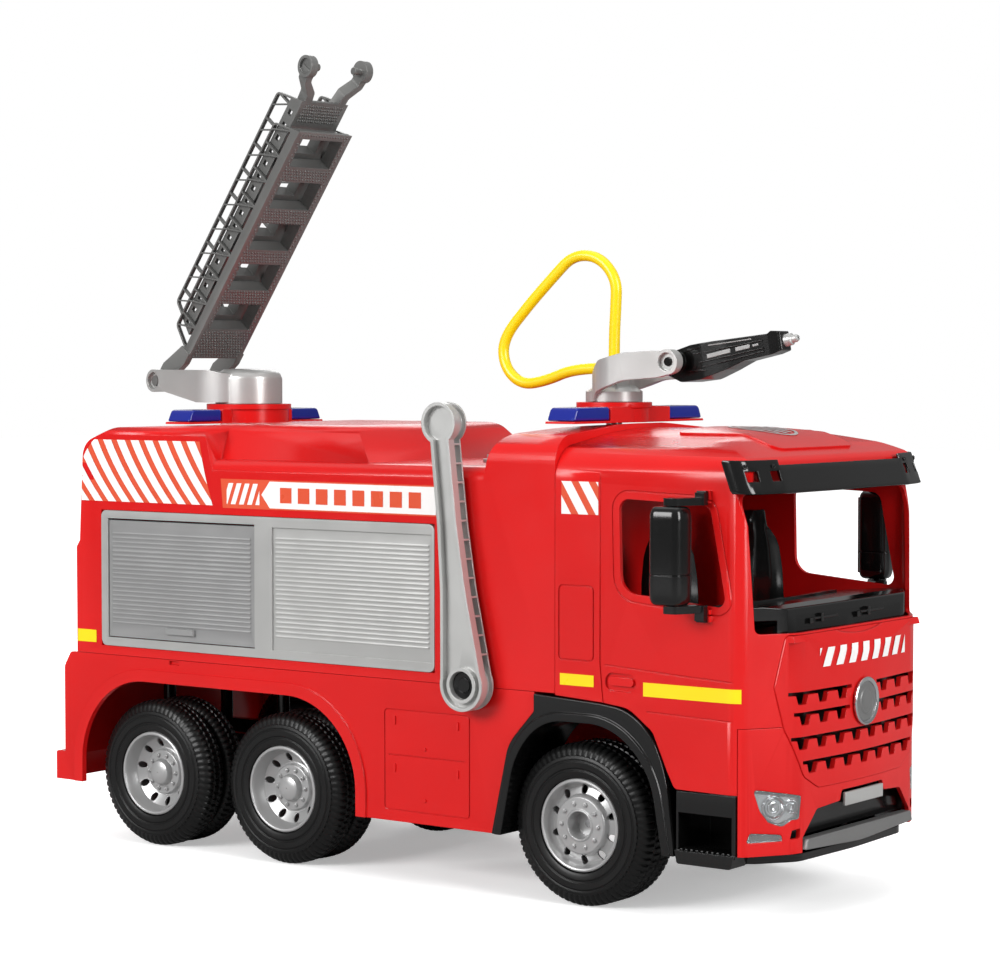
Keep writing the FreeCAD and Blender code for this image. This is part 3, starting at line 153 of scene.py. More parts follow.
def ground():
    """A floor card with a painted glow that rises to white away from the object, so that it is darker round
    it as painted shadow, and which is a plain dull grey to other rays.
    """
    mesh = bpy.data.meshes.new("floor")
    mesh.from_pydata([(-9, -9, 0), (9, -9, 0), (9, 9, 0), (-9, 9, 0)], [], [(0, 1, 2, 3)])
    card = surface("floor_card", (0.95, 0.95, 0.95), 0.8, grain=0.02, scale=80.0, soft=0.0, patch=0.005)
    tree = card.node_tree
    bright = tree.nodes["Principled BSDF"]
    bright.inputs["Emission Color"].default_value = PURE_WHITE
    place = tree.nodes.new("ShaderNodeTexCoord")
    far = tree.nodes.new("ShaderNodeVectorMath")
    far.operation = "LENGTH"
    tree.links.new(place.outputs["Object"], far.inputs[0])
    # painted glow: emission that is lower near the object, a painted shadow there, and rises to white further
    # out
    painted_glow = map_range(tree, far.outputs["Value"], FLOOR_REACH, FLOOR_PAINTED_GLOW)
    tree.links.new(painted_glow, bright.inputs["Emission Strength"])
    dull = tree.nodes.new("ShaderNodeBsdfDiffuse")
    dull.inputs["Color"].default_value = (FLOOR_DIFFUSE, FLOOR_DIFFUSE, FLOOR_DIFFUSE, 1.0)
    seen_apart(tree, dull.outputs["BSDF"], bright.outputs["BSDF"], "Material Output")
    mesh.materials.append(card)
    linked("floor", mesh)


def studio():
    backdrop()
    bpy.context.scene.view_settings.view_transform = "Standard"
    bpy.context.scene.view_settings.look = "None"
    for name, settings in LAMPS.items():
        lamp(name, *settings)
    ground()


# ---- materials --------------------------------------------------------------------------
PATCH_NOISE = (14.0, 3.0)         # scale and detail
GLOSS_NOISE = (55.0, 4.0)
NOISE_RANGE = (0.3, 0.7)
# pointiness over which convex edges turn lighter: partly rubbed wear, partly a painted highlight
WEAR_AND_HIGHLIGHT_EDGE = (0.52, 0.62)
UNEVEN = 0.12                     # part by which the roughness varies
GRAIN_DEPTH = 0.0002


def surface(name, color, roughness, metallic=0.0, grain=0.08, scale=900.0, wear_and_highlight=0.0, coat=0.0,
            soft=0.0007, patch=0.03, shine=0.5):
    """Moulded plastic, metal or rubber: fine grain, uneven gloss, slight patches, soft edges, and lighter
    convex edges that are partly wear and partly a painted highlight.
    """
    made = bpy.data.materials.new(name)
    made.use_nodes = True
    tree = made.node_tree
    nodes, links = tree.nodes, tree.links
    shader = nodes["Principled BSDF"]
    shader.inputs["Metallic"].default_value = metallic
    shader.inputs["Specular IOR Level"].default_value = shine
    shader.inputs["Coat Weight"].default_value = coat
    shader.inputs["Coat Roughness"].default_value = 0.12
    place = nodes.new("ShaderNodeTexCoord")

    def noise(size, detail):
        node = nodes.new("ShaderNodeTexNoise")
        node.inputs["Scale"].default_value = size
        node.inputs["Detail"].default_value = detail
        links.new(place.outputs["Object"], node.inputs["Vector"])
        return node.outputs["Fac"]

    def mixed(part, first, second):
        node = nodes.new("ShaderNodeMix")
        node.data_type = "RGBA"
        links.new(part, node.inputs["Factor"])
        if isinstance(first, tuple):
            node.inputs["A"].default_value = first
        else:
            links.new(first, node.inputs["A"])
        node.inputs["B"].default_value = second
        return node.outputs["Result"]

    def tinted(gain, rise=0.0):
        return (*(min(channel * gain + rise, 1.0) for channel in color), 1.0)

    tone = mixed(map_range(tree, noise(*PATCH_NOISE), NOISE_RANGE, (0.0, 1.0)), tinted(1 - patch),
                 tinted(1 + patch))
    # convex edges lightened: partly rubbed wear, partly a painted highlight
    if wear_and_highlight:
        edge = nodes.new("ShaderNodeNewGeometry")
        wear_and_highlight_mask = map_range(tree, edge.outputs["Pointiness"], WEAR_AND_HIGHLIGHT_EDGE, (0.0, wear_and_highlight))
        tone = mixed(wear_and_highlight_mask, tone, tinted(1.6, 0.03))
    links.new(tone, shader.inputs["Base Color"])
    gloss = (roughness * (1 - UNEVEN), roughness * (1 + UNEVEN))
    links.new(map_range(tree, noise(*GLOSS_NOISE), NOISE_RANGE, gloss), shader.inputs["Roughness"])
    bump = nodes.new("ShaderNodeBump")
    bump.inputs["Strength"].default_value = grain
    bump.inputs["Distance"].default_value = GRAIN_DEPTH
    links.new(noise(scale, 2.0), bump.inputs["Height"])
    if soft:
        edges = nodes.new("ShaderNodeBevel")
        edges.samples = 4
        edges.inputs["Radius"].default_value = soft
        links.new(edges.outputs["Normal"], bump.inputs["Normal"])
    links.new(bump.outputs["Normal"], shader.inputs["Normal"])
    return made


def lens(name, color, roughness, clear):
    made = surface(name, color, roughness, grain=0.03, scale=400.0, coat=0.3)
    shader = made.node_tree.nodes["Principled BSDF"]
    shader.inputs["Transmission Weight"].default_value = clear
    shader.inputs["IOR"].default_value = 1.45
    return made


RED = surface("red_gloss", (0.60, 0.006, 0.006), 0.24, grain=0.02, scale=500.0, wear_and_highlight=0.10, shine=0.34)
PAINTED = {"metallic": 0.5, "grain": 0.01, "scale": 500.0, "wear_and_highlight": 0.2}
SILVER = surface("silver_moulding", (0.46, 0.46, 0.45), 0.34, **PAINTED)
SHUTTER = surface("shutter_grey", (0.31, 0.31, 0.31), 0.36, **PAINTED)
RIM = surface("rim_silver", (0.42, 0.42, 0.42), 0.32, **PAINTED)
LADDER = surface("ladder_grey", (0.18, 0.18, 0.175), 0.36, **{**PAINTED, "grain": 0.02, "wear_and_highlight": 0.5})
BLACK = surface("black_gloss", (0.003, 0.003, 0.003), 0.15, grain=0.02, scale=900.0, wear_and_highlight=0.10, shine=0.42)
RUBBER = surface("tyre_black", (0.004, 0.004, 0.004), 0.34, grain=0.10, scale=1200.0, wear_and_highlight=0.2, shine=0.28)
STEEL = surface("bright_steel", (0.55, 0.55, 0.56), 0.25, metallic=1.0, grain=0.05, scale=600.0)
GREY = surface("inner_grey", (0.20, 0.20, 0.21), 0.45, grain=0.08, scale=900.0)
SKID = surface("skid_grey", (0.19, 0.19, 0.188), 0.36, metallic=0.4, grain=0.05, scale=900.0, wear_and_highlight=0.3)
DISC = surface("roof_film", (0.42, 0.40, 0.40), 0.35, grain=0.03, scale=700.0, soft=0.0, shine=0.3)
YELLOW = surface("hose_yellow", (0.88, 0.66, 0.004), 0.28, grain=0.02, scale=300.0, soft=0.0, patch=0.02)
BLUE = lens("beacon_blue", (0.004, 0.016, 0.30), 0.10, 0.2)
CLEAR = lens("lamp_clear", (0.90, 0.92, 0.93), 0.05, 0.9)
MIRROR = surface("reflector", (0.60, 0.61, 0.62), 0.16, metallic=1.0, grain=0.03, scale=300.0)
FILM = {"roughness": 0.30, "grain": 0.04, "scale": 700.0, "soft": 0.0, "shine": 0.3}
WHITE = surface("white_film", (0.85, 0.83, 0.82), **FILM)
AMBER = surface("yellow_film", (0.90, 0.66, 0.01), **FILM)
SCARLET = surface("red_film", (0.68, 0.085, 0.035), **FILM)


# ---- building blocks --------------------------------------------------------------------
def add(name, mesh, material, body):
    piece = linked(name, mesh)
    if not mesh.materials:
        mesh.materials.append(material)
    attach(piece, body)
    return piece


CREASE = 32.0                     # edges sharper than this, in degrees, stay sharp


def smooth(mesh, angle=CREASE):
    for face in mesh.polygons:
        face.use_smooth = True
    mesh.set_sharp_from_angle(angle=math.radians(angle))


def merge_flat(work):
    """Joins the facets of each flat face into one, so that its shading is even."""
    bmesh.ops.dissolve_limit(work, angle_limit=math.radians(0.4), verts=work.verts, edges=work.edges)


def to_mesh(name, work, angle=CREASE):
    bmesh.ops.recalc_face_normals(work, faces=work.faces)
    mesh = bpy.data.meshes.new(name)
    work.to_mesh(mesh)
    work.free()
    smooth(mesh, angle)
    return mesh


def spot(axis, u, v, depth):
    """A point from an outline's (u, v) and its depth along the axis, in metres."""
    order = {"X": (depth, u, v), "Y": (u, depth, v), "Z": (u, v, depth)}[axis]
    return tuple(value * MM for value in order)


def prism(work, outline, axis, low, high):
    """Adds an outline of (u, v) corners in millimetres, drawn out along an axis."""
    ends = [[work.verts.new(spot(axis, u, v, depth)) for u, v in outline] for depth in (low, high)]
    work.faces.new(ends[0])
    work.faces.new(list(reversed(ends[1])))
    for index in range(len(outline)):
        after = (index + 1) % len(outline)
        work.faces.new((ends[0][index], ends[1][index], ends[1][after], ends[0][after]))


def block(work, x, y, z):
    prism(work, rectangle(*x, *y), "Z", *z)


def facing(axis):
    """The turn that points +Z along an axis."""
    return Vector(axis).normalized().to_track_quat("Z", "Y").to_matrix()


def lathe(work, profile, centre, axis, steps=96, dent=None):
    """Turns a (radius, depth) profile about an axis; dent(step, index) is the radius taken off there."""
    side = facing(axis)
    rings = []
    for step in range(steps):
        angle = 2 * math.pi * step / steps
        spokes = []
        for index, (radius, depth) in enumerate(profile):
            reach = radius - (dent(step, index) if dent else 0.0)
            local = Vector((reach * math.cos(angle), reach * math.sin(angle), depth))
            spokes.append(work.verts.new((side @ local + Vector(centre)) * MM))
        rings.append(spokes)
    for step in range(steps):
        here, after = rings[step], rings[(step + 1) % steps]
        for index in range(len(profile) - 1):
            work.faces.new((here[index], after[index], after[index + 1], here[index + 1]))
    return rings


def capped(work, rings, ends=(0, -1)):
    """Closes a lathed shape at the first point of its profile, at its last, or at both."""
    for index in ends:
        work.faces.new([spokes[index] for spokes in rings])


def loft(work, levels):
    """Closed loops of points, joined level by level and closed at both ends."""
    loops = [[work.verts.new(Vector(point) * MM) for point in level] for level in levels]
    for below, above in zip(loops, loops[1:]):
        for index in range(len(below)):
            after = (index + 1) % len(below)
            work.faces.new((below[index], below[after], above[after], above[index]))
    work.faces.new(list(reversed(loops[0])))
    work.faces.new(loops[-1])


def circle(u, v, radius, steps, tall=None):
    """A circle of points, or an ellipse that is tall millimetres from its middle along v."""
    turns = [2 * math.pi * step / steps for step in range(steps)]
    return [(u + radius * math.cos(turn), v + (tall or radius) * math.sin(turn)) for turn in turns]


def rectangle(left, right, low, high):
    return [(left, low), (right, low), (right, high), (left, high)]


NEARLY_STRAIGHT = 1.55            # half angle in radians, past which a corner isn't rounded
LONGEST_MITRE = 0.4               # least cosine that an offset corner is stretched by


def rounded(corners, radius, steps=5):
    """Corner points rounded off; a corner may carry its own radius."""
    points = []
    count = len(corners)
    for index, corner in enumerate(corners):
        here = Vector(corner[:2])
        bend = corner[2] if len(corner) > 2 else radius
        before = (Vector(corners[index - 1][:2]) - here).normalized()
        after = (Vector(corners[(index + 1) % count][:2]) - here).normalized()
        half = before.angle(after) / 2
        if not bend or half > NEARLY_STRAIGHT:
            points.append(tuple(here))
            continue
        reach = bend / math.tan(half)
        middle = here + (before + after).normalized() * (bend / math.sin(half))
        start, end = here + before * reach - middle, here + after * reach - middle
        sweep = start.angle_signed(end)
        for step in range(steps + 1):
            points.append(tuple(middle + Matrix.Rotation(-sweep * step / steps, 2) @ start))
    return points


def offset(outline, distance):
    """A closed outline moved outwards by distance (inwards if negative)."""
    area = sum(a[0] * b[1] - b[0] * a[1] for a, b in zip(outline, outline[1:] + outline[:1]))
    way = 1.0 if area > 0 else -1.0
    moved = []
    for before, here, after in zip(outline[-1:] + outline[:-1], outline, outline[1:] + outline[:1]):
        one = (Vector(here) - Vector(before)).normalized()
        two = (Vector(after) - Vector(here)).normalized()
        normal = Vector((one.y + two.y, -one.x - two.x)).normalized() * way
        stretch = 1.0 / max(normal.dot(Vector((one.y, -one.x)) * way), LONGEST_MITRE)
        moved.append(tuple(Vector(here) + normal * distance * stretch))
    return moved


def band(points, width):
    """The outline of a line drawn width wide through points."""
    left, right = [], []
    for index, point in enumerate(points):
        before = Vector(points[max(index - 1, 0)])
        after = Vector(points[min(index + 1, len(points) - 1)])
        along = (after - before).normalized()
        across = Vector((-along.y, along.x)) * width / 2
        left.append(tuple(Vector(point) + across))
        right.append(tuple(Vector(point) - across))
    return left + list(reversed(right))


def ring_prism(work, outer, inner, axis, low, high):
    """A frame between two outlines with the same number of points."""
    corners = [[[work.verts.new(spot(axis, u, v, depth)) for u, v in outline] for depth in (low, high)]
               for outline in (outer, inner)]
    count = len(outer)
    for index in range(count):
        after = (index + 1) % count
        for loop in corners:
            work.faces.new((loop[0][index], loop[1][index], loop[1][after], loop[0][after]))
        for depth in (0, 1):
            work.faces.new((corners[0][depth][index], corners[0][depth][after],
                            corners[1][depth][after], corners[1][depth][index]))


def bevelled(piece, width, segments, limit):
    edge = piece.modifiers.new("edges", "BEVEL")
    edge.width = width * MM
    edge.segments = segments
    edge.limit_method = "ANGLE"
    edge.angle_limit = math.radians(limit)


def thickened(piece, thick):
    shell = piece.modifiers.new("thickness", "SOLIDIFY")
    shell.thickness = thick * MM
    shell.offset = -1.0


def subtract(piece, work, name, angle, itself=False):
    """Cuts solids out of a piece, and makes this and its other modifiers real."""
    bmesh.ops.recalc_face_normals(work, faces=work.faces)
    mesh = bpy.data.meshes.new(name)
    work.to_mesh(mesh)
    work.free()
    cutter = linked(name, mesh)
    change = piece.modifiers.new("cut", "BOOLEAN")
    change.operation = "DIFFERENCE"
    change.solver = "EXACT"
    change.use_self = itself
    change.object = cutter
    apply(piece, angle)
    bpy.data.objects.remove(cutter)


def carved(node, material, cut=None, bevel=0.0):
    """A copy of a CAD node with softened edges and its seams cut in, which stands for it."""
    work = bmesh.new()
    work.from_mesh(frame["nodes"][node].data)
    bmesh.ops.remove_doubles(work, verts=work.verts, dist=1e-6)
    merge_flat(work)
    piece = made(node + ".piece", work, material, node)
    if bevel:
        bevelled(piece, bevel, 3, 40)
        apply(piece, CREASE)
    if cut:
        tool = bmesh.new()
        cut(tool)
        subtract(piece, tool, node + "_cut", CREASE, itself=True)
    even = piece.modifiers.new("normals", "WEIGHTED_NORMAL")
    even.keep_sharp = True
    even.weight = 80
    apply(piece)
    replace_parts(piece, node)


def apply(piece, angle=None):
    """Makes a piece's modifiers real; with an angle, its shading is set anew."""
    graph = bpy.context.evaluated_depsgraph_get()
    graph.update()
    mesh = bpy.data.meshes.new_from_object(piece.evaluated_get(graph))
    materials = list(piece.data.materials)
    piece.modifiers.clear()
    piece.data = mesh
    mesh.materials.clear()
    for material in materials:
        mesh.materials.append(material)
    if angle:
        smooth(mesh, angle)


RECORD = frame["record"]
HOME = {node: body for body, nodes in RECORD["behaviour"]["bodies"].items() for node in nodes}
SURFACES = {}


def shape_of(node):
    """The CAD node's surface, for laying films and plates on it."""
    if node not in SURFACES:
        mesh = frame["nodes"][node].data
        corners = [vertex.co.copy() for vertex in mesh.vertices]
        SURFACES[node] = BVHTree.FromPolygons(corners, [tuple(face.vertices) for face in mesh.polygons])
    return SURFACES[node]


def laid(name, outlines, axis, outside, node, material, lift, thick=0.0, fine=3):
    """Flat outlines laid on a node's surface from outside along an axis, lift millimetres off it."""
    work = bmesh.new()
    for outline in outlines:
        work.faces.new([work.verts.new(spot(axis, u, v, outside)) for u, v in outline])
    bmesh.ops.triangulate(work, faces=work.faces)
    bmesh.ops.subdivide_edges(work, edges=work.edges, cuts=fine, use_grid_fill=True)
    bmesh.ops.triangulate(work, faces=work.faces)
    inward = Vector(spot(axis, 0, 0, -1 if outside > 0 else 1)).normalized()
    missed = []
    for vertex in work.verts:
        place = shape_of(node).ray_cast(vertex.co, inward)[0]
        if place is None:
            missed.append(vertex)
        else:
            vertex.co = place - inward * lift * MM
    bmesh.ops.delete(work, geom=missed, context="VERTS")
    bmesh.ops.recalc_face_normals(work, faces=work.faces)
    if sum(face.normal.dot(inward) for face in work.faces) > 0:
        bmesh.ops.reverse_faces(work, faces=work.faces)
    mesh = bpy.data.meshes.new(name)
    work.to_mesh(mesh)
    work.free()
    smooth(mesh, 50)
    piece = add(name, mesh, material, HOME[node])
    if thick:
        thickened(piece, thick)
        apply(piece, 40)


def made(name, work, material, node, angle=CREASE):
    """A new piece that goes with a CAD node's body and finish."""
    return add(name, to_mesh(name, work, angle), material, HOME[node])


def turned(work, moves):
    for matrix in moves:
        bmesh.ops.transform(work, matrix=matrix, verts=work.verts)


def shifted(x=0.0, y=0.0, z=0.0):
    return Matrix.Translation(Vector((x, y, z)) * MM)


LADDER_MOVES = [Matrix.Rotation(math.radians(-LADDER_TILT), 4, "Y"),
                shifted(-LADDER_REACH, 0, LADDER_PIVOT[1]),
                Matrix.Rotation(math.radians(LADDER_TURN), 4, "Z"), shifted(LADDER_PIVOT[0])]


# ---- wheels -----------------------------------------------------------------------------
TREAD_STEPS = 280
TREAD_DEPTH = 1.2
TREAD_PITCH = 4                   # steps from one tread gap to the next
TREAD_SHIFT = {1: 0, 2: 2}        # steps by which the gaps of edge and middle blocks are shifted
WIDE_TYRE = 45.0                  # a tyre wider than this is moulded as a twin
HUB_HOLES = 10
HOLE_SIZE = (3.3, 2.5)            # half length and half width
NUT_R = 1.7
STUD_R = 0.8


def tyre_profile(width):
    """(radius, depth, kind) points across a tyre; kind 0 is smooth, 1 an edge block and 2 a middle block."""
    side = [(32.0, 3.0, 0), (32.6, 1.4, 0), (34.6, 0.7, 0), (37.0, 0.5, 0), (37.6, 1.1, 0), (38.6, 1.1, 0),
            (39.2, 0.4, 0), (43.2, 0.2, 0), (43.8, 0.8, 0), (44.6, 0.8, 0), (45.2, 0.3, 0), (47.2, 0.8, 0),
            (47.8, 1.6, 1), (51.0, 2.6, 1), (53.8, 4.6, 1), (55.2, 7.0, 1)]
    if width > WIDE_TYRE:
        half = side + [(55.5, 9.2, 1), (54.2, 9.5, 0), (54.2, 10.3, 0), (55.5, 11.0, 2), (55.5, 15.0, 2),
                       (54.2, 15.4, 0), (54.2, 16.2, 0), (55.5, 16.8, 1), (55.2, 19.4, 1), (53.8, 21.4, 1),
                       (50.5, 22.9, 1), (47.0, 23.6, 0), (44.0, 24.0, 0)]
    else:
        half = side + [(55.5, 11.0, 1), (54.2, 11.4, 0), (54.2, 12.6, 0), (55.5, 13.5, 2), (55.5, 19.6, 2),
                       (54.2, 20.0, 0)]
    return half + [(radius, width - depth, kind) for radius, depth, kind in reversed(half)]


def tyre(name, x, width, side):
    profile = tyre_profile(width)

    def dent(step, index):
        kind = profile[index][2]
        return TREAD_DEPTH if kind and (step + TREAD_SHIFT[kind]) % TREAD_PITCH == 3 else 0.0

    work = bmesh.new()
    points = [point[:2] for point in profile]
    lathe(work, points, (x, side * WHEEL_FACE_Y, WHEEL_R), (0, -side, 0), TREAD_STEPS, dent)
    node = f"{name}_tyre_{tag_of(side)}"
    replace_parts(made(node + "_tread", work, RUBBER, node, 38), node)


# profiles of the disc's middle, then where its holes and nuts stand
FRONT_HUB = ([(27.4, 7.6), (25.6, 9.0), (21.0, 7.0), (20.2, 4.4), (19.6, 3.0), (18.8, 2.4), (11.2, 2.0),
              (10.4, 1.2), (9.6, 1.2), (9.0, 2.2), (8.8, 13.0), (0.4, 13.4)], 24.0, 18.0, 15.0, 2.6)
REAR_HUB = ([(27.4, 9.0), (26.0, 11.6), (18.6, 15.8), (17.6, 15.4), (16.8, 13.0), (16.2, 12.4),
             (10.2, 12.0), (9.6, 9.4), (8.6, 7.8), (6.6, 6.8), (3.0, 6.3), (0.4, 6.2)], 22.6, 9.0, 13.2, 12.4)


def rim(name, x, width, side):
    """A dished disc with ten oval holes, wheel nuts and an open cup (front) or a domed hub (the others)."""
    lip = [(31.9, width - 2.0), (31.9, 3.0), (31.4, 1.6), (30.4, 1.0), (29.4, 1.3), (28.9, 2.4), (28.5, 5.0)]
    face, hole_reach, hole_turn, nut_reach, nut_seat = FRONT_HUB if name == "front" else REAR_HUB
    centre, axis = (x, side * WHEEL_FACE_Y, WHEEL_R), (0, -side, 0)
    outward = [facing(axis).to_4x4(), shifted(*centre)]
    node = f"{name}_rim_{tag_of(side)}"
    work = bmesh.new()
    lathe(work, lip + face, centre, axis, 120)
    piece = made(node + "_disc", work, RIM, node, 30)
    thickened(piece, 1.6)
    holes = bmesh.new()
    nuts = bmesh.new()
    for index in range(HUB_HOLES):
        angle = 360 / HUB_HOLES * index
        turn = Matrix.Rotation(math.radians(angle + hole_turn), 2)
        oval = circle(hole_reach, 0.0, HOLE_SIZE[0], 20, HOLE_SIZE[1])
        prism(holes, [tuple(turn @ Vector(point)) for point in oval], "Z", -5, 30)
        at = (nut_reach * math.cos(math.radians(angle)), nut_reach * math.sin(math.radians(angle)))
        prism(nuts, circle(*at, NUT_R, 6), "Z", nut_seat - 1.7, nut_seat + 1.0)
        prism(nuts, circle(*at, STUD_R, 10), "Z", nut_seat - 2.4, nut_seat)
    turned(holes, outward)
    subtract(piece, holes, "punch", 30)
    turned(nuts, outward)
    made(node + "_nuts", nuts, RIM, node)
    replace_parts(piece, node)


def wheels():
    for name, (x, width) in WHEELS.items():
        for side in SIDES:
            tyre(name, x, width, side)
            rim(name, x, width, side)


# ---- body -------------------------------------------------------------------------------
CORNER = 3.4                      # depth of a groove that is cut where the cab's side turns in


def skin(side, depth, rise=4.0):
    """The y range of a cut or a fitting that goes depth into the body's side and rises past it."""
    return sorted((side * (SIDE_Y - depth), side * (SIDE_Y + rise)))


def groove(work, points, side, width=0.9, depth=0.8):
    prism(work, band(points, width), "Y", *skin(side, depth))


def frame_groove(work, outline, side, width=0.9, depth=0.8):
    ring_prism(work, offset(outline, width / 2), offset(outline, -width / 2), "Y", *skin(side, depth))


def recess(work, outline, side, depth):
    prism(work, outline, "Y", *skin(side, depth))


SIDE_WINDOW = [(202.0, 277.5, 7.0), (272.5, 275.0, 8.0), (285.5, 208.5, 6.0), (203.5, 215.5, 13.0)]
DOOR_HANDLE = [(191.0, 149.5), (216.0, 149.0), (216.0, 161.0), (191.0, 161.5)]
DOOR_GRIP = [(193.5, 153.2), (213.5, 152.8), (213.5, 158.6), (193.5, 159.0)]
CAB_LOCKER = rectangle(153.5, 181.5, 168.0, 218.0)
SIDE_LOCKER = rectangle(3.0, 78.0, 52.0, 123.0)
DOOR_CATCH = rectangle(-205.0, -195.0, 140.6, 143.4)
HINGE_PLACES = [(x, z) for x in (12.3, 68.0) for z in (82.0, 115.5)]
KNOB_PLACES = [(39.0, 60.8), (39.0, 97.0)]


def cab_seams(work):
    for side in SIDES:
        groove(work, [(187.0, 297.0), (187.0, 168.0), (188.5, 150.0), (190.0, 138.0)], side)
        groove(work, [(297.0, 206.0), (298.0, 160.0), (298.0, 84.0)], side, 0.9, CORNER)
        groove(work, [(190.5, 166.5), (240.0, 163.5), (291.0, 161.0)], side, 0.8, 0.6)
        groove(work, [(224.0, 137.5), (260.0, 136.5), (291.0, 135.5)], side, 0.8, 0.6)
        frame_groove(work, rounded(CAB_LOCKER, 3.0), side)
        frame_groove(work, offset(rounded(SIDE_WINDOW, 6.0), 5.5), side, 1.0, 0.7)
        recess(work, rounded(DOOR_HANDLE, 5.5), side, 1.8)


def lower_seams(work):
    for side in SIDES:
        frame_groove(work, rounded(SIDE_LOCKER, 2.5), side, 0.9, 0.7)
        groove(work, [(6.5, 91.0), (74.0, 91.0)], side, 0.8, 0.6)
        recess(work, DOOR_CATCH, side, 2.0)


def door_hardware(side):
    """Hinges and knobs of the two stacked locker doors, and the cab door's grip in its recess."""
    work = bmesh.new()
    for x, z in HINGE_PLACES:
        hinge = rounded(rectangle(x - 0.8, x + 0.8, z - 3.0, z + 3.0), 0.7)
        prism(work, hinge, "Y", *skin(side, 0.5, 1.0))
    for x, z in KNOB_PLACES:
        prism(work, circle(x, z, 1.3, 16), "Y", *skin(side, 0.5, 1.0))
    made(f"locker_hardware_{tag_of(side)}", work, RED, "lower_body")
    grip = bmesh.new()
    prism(grip, rounded(DOOR_GRIP, 2.8), "Y", *skin(side, 2.0, 0.2))
    made(f"door_handle_{tag_of(side)}", grip, RED, "cab_shell")


def leaning(left, right, low, high, pitch, width, lean, bow=0.0, steps=1):
    """Slanted stripes between two edges; each edge is a u, or a function giving u at v."""
    edges = [edge if callable(edge) else (lambda v, u=edge: u) for edge in (left, right)]

    def shift(part):
        return lean * part * (1 - bow + bow * part)

    stripes = []
    x = min(edges[0](low), edges[0](high)) - abs(lean)
    while x < max(edges[1](low), edges[1](high)) + abs(lean):
        for step in range(steps):
            top, bottom = step / steps, (step + 1) / steps
            upper, lower = high - (high - low) * top, high - (high - low) * bottom
            corners = [(x + shift(top), upper), (x + width + shift(top), upper),
                       (x + width + shift(bottom), lower), (x + shift(bottom), lower)]
            stripe = clipped(clipped(corners, edges[0], 1.0), edges[1], -1.0)
            if len(stripe) > 2:
                stripes.append(stripe)
        x += pitch
    return stripes


def clipped(corners, edge, keep):
    """Cuts a convex outline along an edge, keeping the side that keep points to."""
    kept = []
    for here, after in zip(corners, corners[1:] + corners[:1]):
        inside, ahead = ((point[0] - edge(point[1])) * keep for point in (here, after))
        if inside >= 0:
            kept.append(here)
        if (inside >= 0) != (ahead >= 0):
            part = inside / (inside - ahead)
            kept.append((here[0] + part * (after[0] - here[0]), here[1] + part * (after[1] - here[1])))
    return kept


REAR_FILM = (262.0, 309.0)        # low and high edge
FLASHES = (263.5, 279.0)
PILLAR_FILM = (155.5, 185.5, 266.0, 288.0)
BANNER = [(-112.0, 271.2), (-104.0, 261.5), (49.0, 261.5), (49.0, 281.0), (-104.0, 281.0)]
BANNER_BACK = [(-150.0, 260.5), (49.0, 260.5), (49.0, 282.0), (-152.0, 282.0)]
BANNER_MARKS = [rectangle(x, x + 11.0, 265.6, 276.8) for x in range(-94, 40, 17)]
BARS = (("upper_body", (-301.0, -281.0, 153.0, 162.5)), ("cab_shell", (154.5, 182.0, 150.8, 158.6)),
        ("cab_shell", (221.5, 295.0, 147.6, 156.8)))


def rear_edge(v):
    """The rear film's forward edge, which follows the concave end of the rear block."""
    part = (REAR_FILM[1] - v) / (REAR_FILM[1] - REAR_FILM[0])
    return -173.0 + 13.0 * part - 5.0 * part * (1 - part)


def tail_edge(v):
    """The rear film's other edge, which curves in with the body's upper rear corner."""
    return -296.0 + max(v - 286.0, 0.0) ** 2 * 0.026


def films(side):
    """Printed films, each a ground or marks lift millimetres off the body: name, outlines, node and look."""
    whole = leaning(tail_edge, rear_edge, *REAR_FILM, 200.0, 200.0, 0.0, 0.0, 10)
    stripes = leaning(tail_edge, rear_edge, *REAR_FILM, 14.4, 8.4, 34.0, 0.3, 10)
    flashes = leaning(-146.0, -114.0, *FLASHES, 8.0, 4.6, -6.0)
    pillar = leaning(*PILLAR_FILM, 14.0, 8.0, 14.0)
    sheets = [("rear_film", whole, "upper_body", SCARLET, 0.12, 9),
              ("rear_stripes", stripes, "upper_body", WHITE, 0.4, 4),
              ("side_film", [BANNER_BACK], "upper_body", SCARLET, 0.12, 6),
              ("side_flashes", flashes, "upper_body", WHITE, 0.25, 3),
              ("side_banner", [BANNER], "upper_body", WHITE, 0.25, 6),
              ("banner_marks", BANNER_MARKS, "upper_body", SCARLET, 0.38, 3),
              ("pillar_film", [rectangle(*PILLAR_FILM)], "cab_shell", SCARLET, 0.12, 3),
              ("pillar_stripes", pillar, "cab_shell", WHITE, 0.25, 3)]
    sheets += [(f"bar_{number}", [rectangle(*edges)], node, AMBER, 0.3, 24)
               for number, (node, edges) in enumerate(BARS)]
    for name, outlines, node, look, lift, fine in sheets:
        laid(f"{name}_{tag_of(side)}", outlines, "Y", side * 160.0, node, look, lift=lift, fine=fine)


BADGE = (324.0, 0.0, 140.8)
BADGE_RING = [(13.0, -0.4), (16.2, -0.4), (16.2, 1.0), (15.6, 1.5), (14.4, 1.5), (13.4, 0.9), (13.0, -0.4)]
BADGE_BOSS = [(13.2, -0.3), (13.1, 0.2), (9.0, 0.5), (8.4, 1.1), (7.6, 1.2), (6.8, 0.8), (1.0, 1.2)]
DISC_X = 243.0
DISC_R = (24.0, 21.5, 19.0)       # of the ring's edges, and of the circle that the bars end on
HEADLIGHT = [(-104.0, 89.0), (-77.0, 84.0), (-78.5, 72.5), (-89.0, 68.5), (-96.0, 72.0), (-100.5, 78.5)]
LAMP_BOWLS = ((-93.5, 79.0, 8.2), (-82.0, 79.0, 4.6))    # y, z and radius


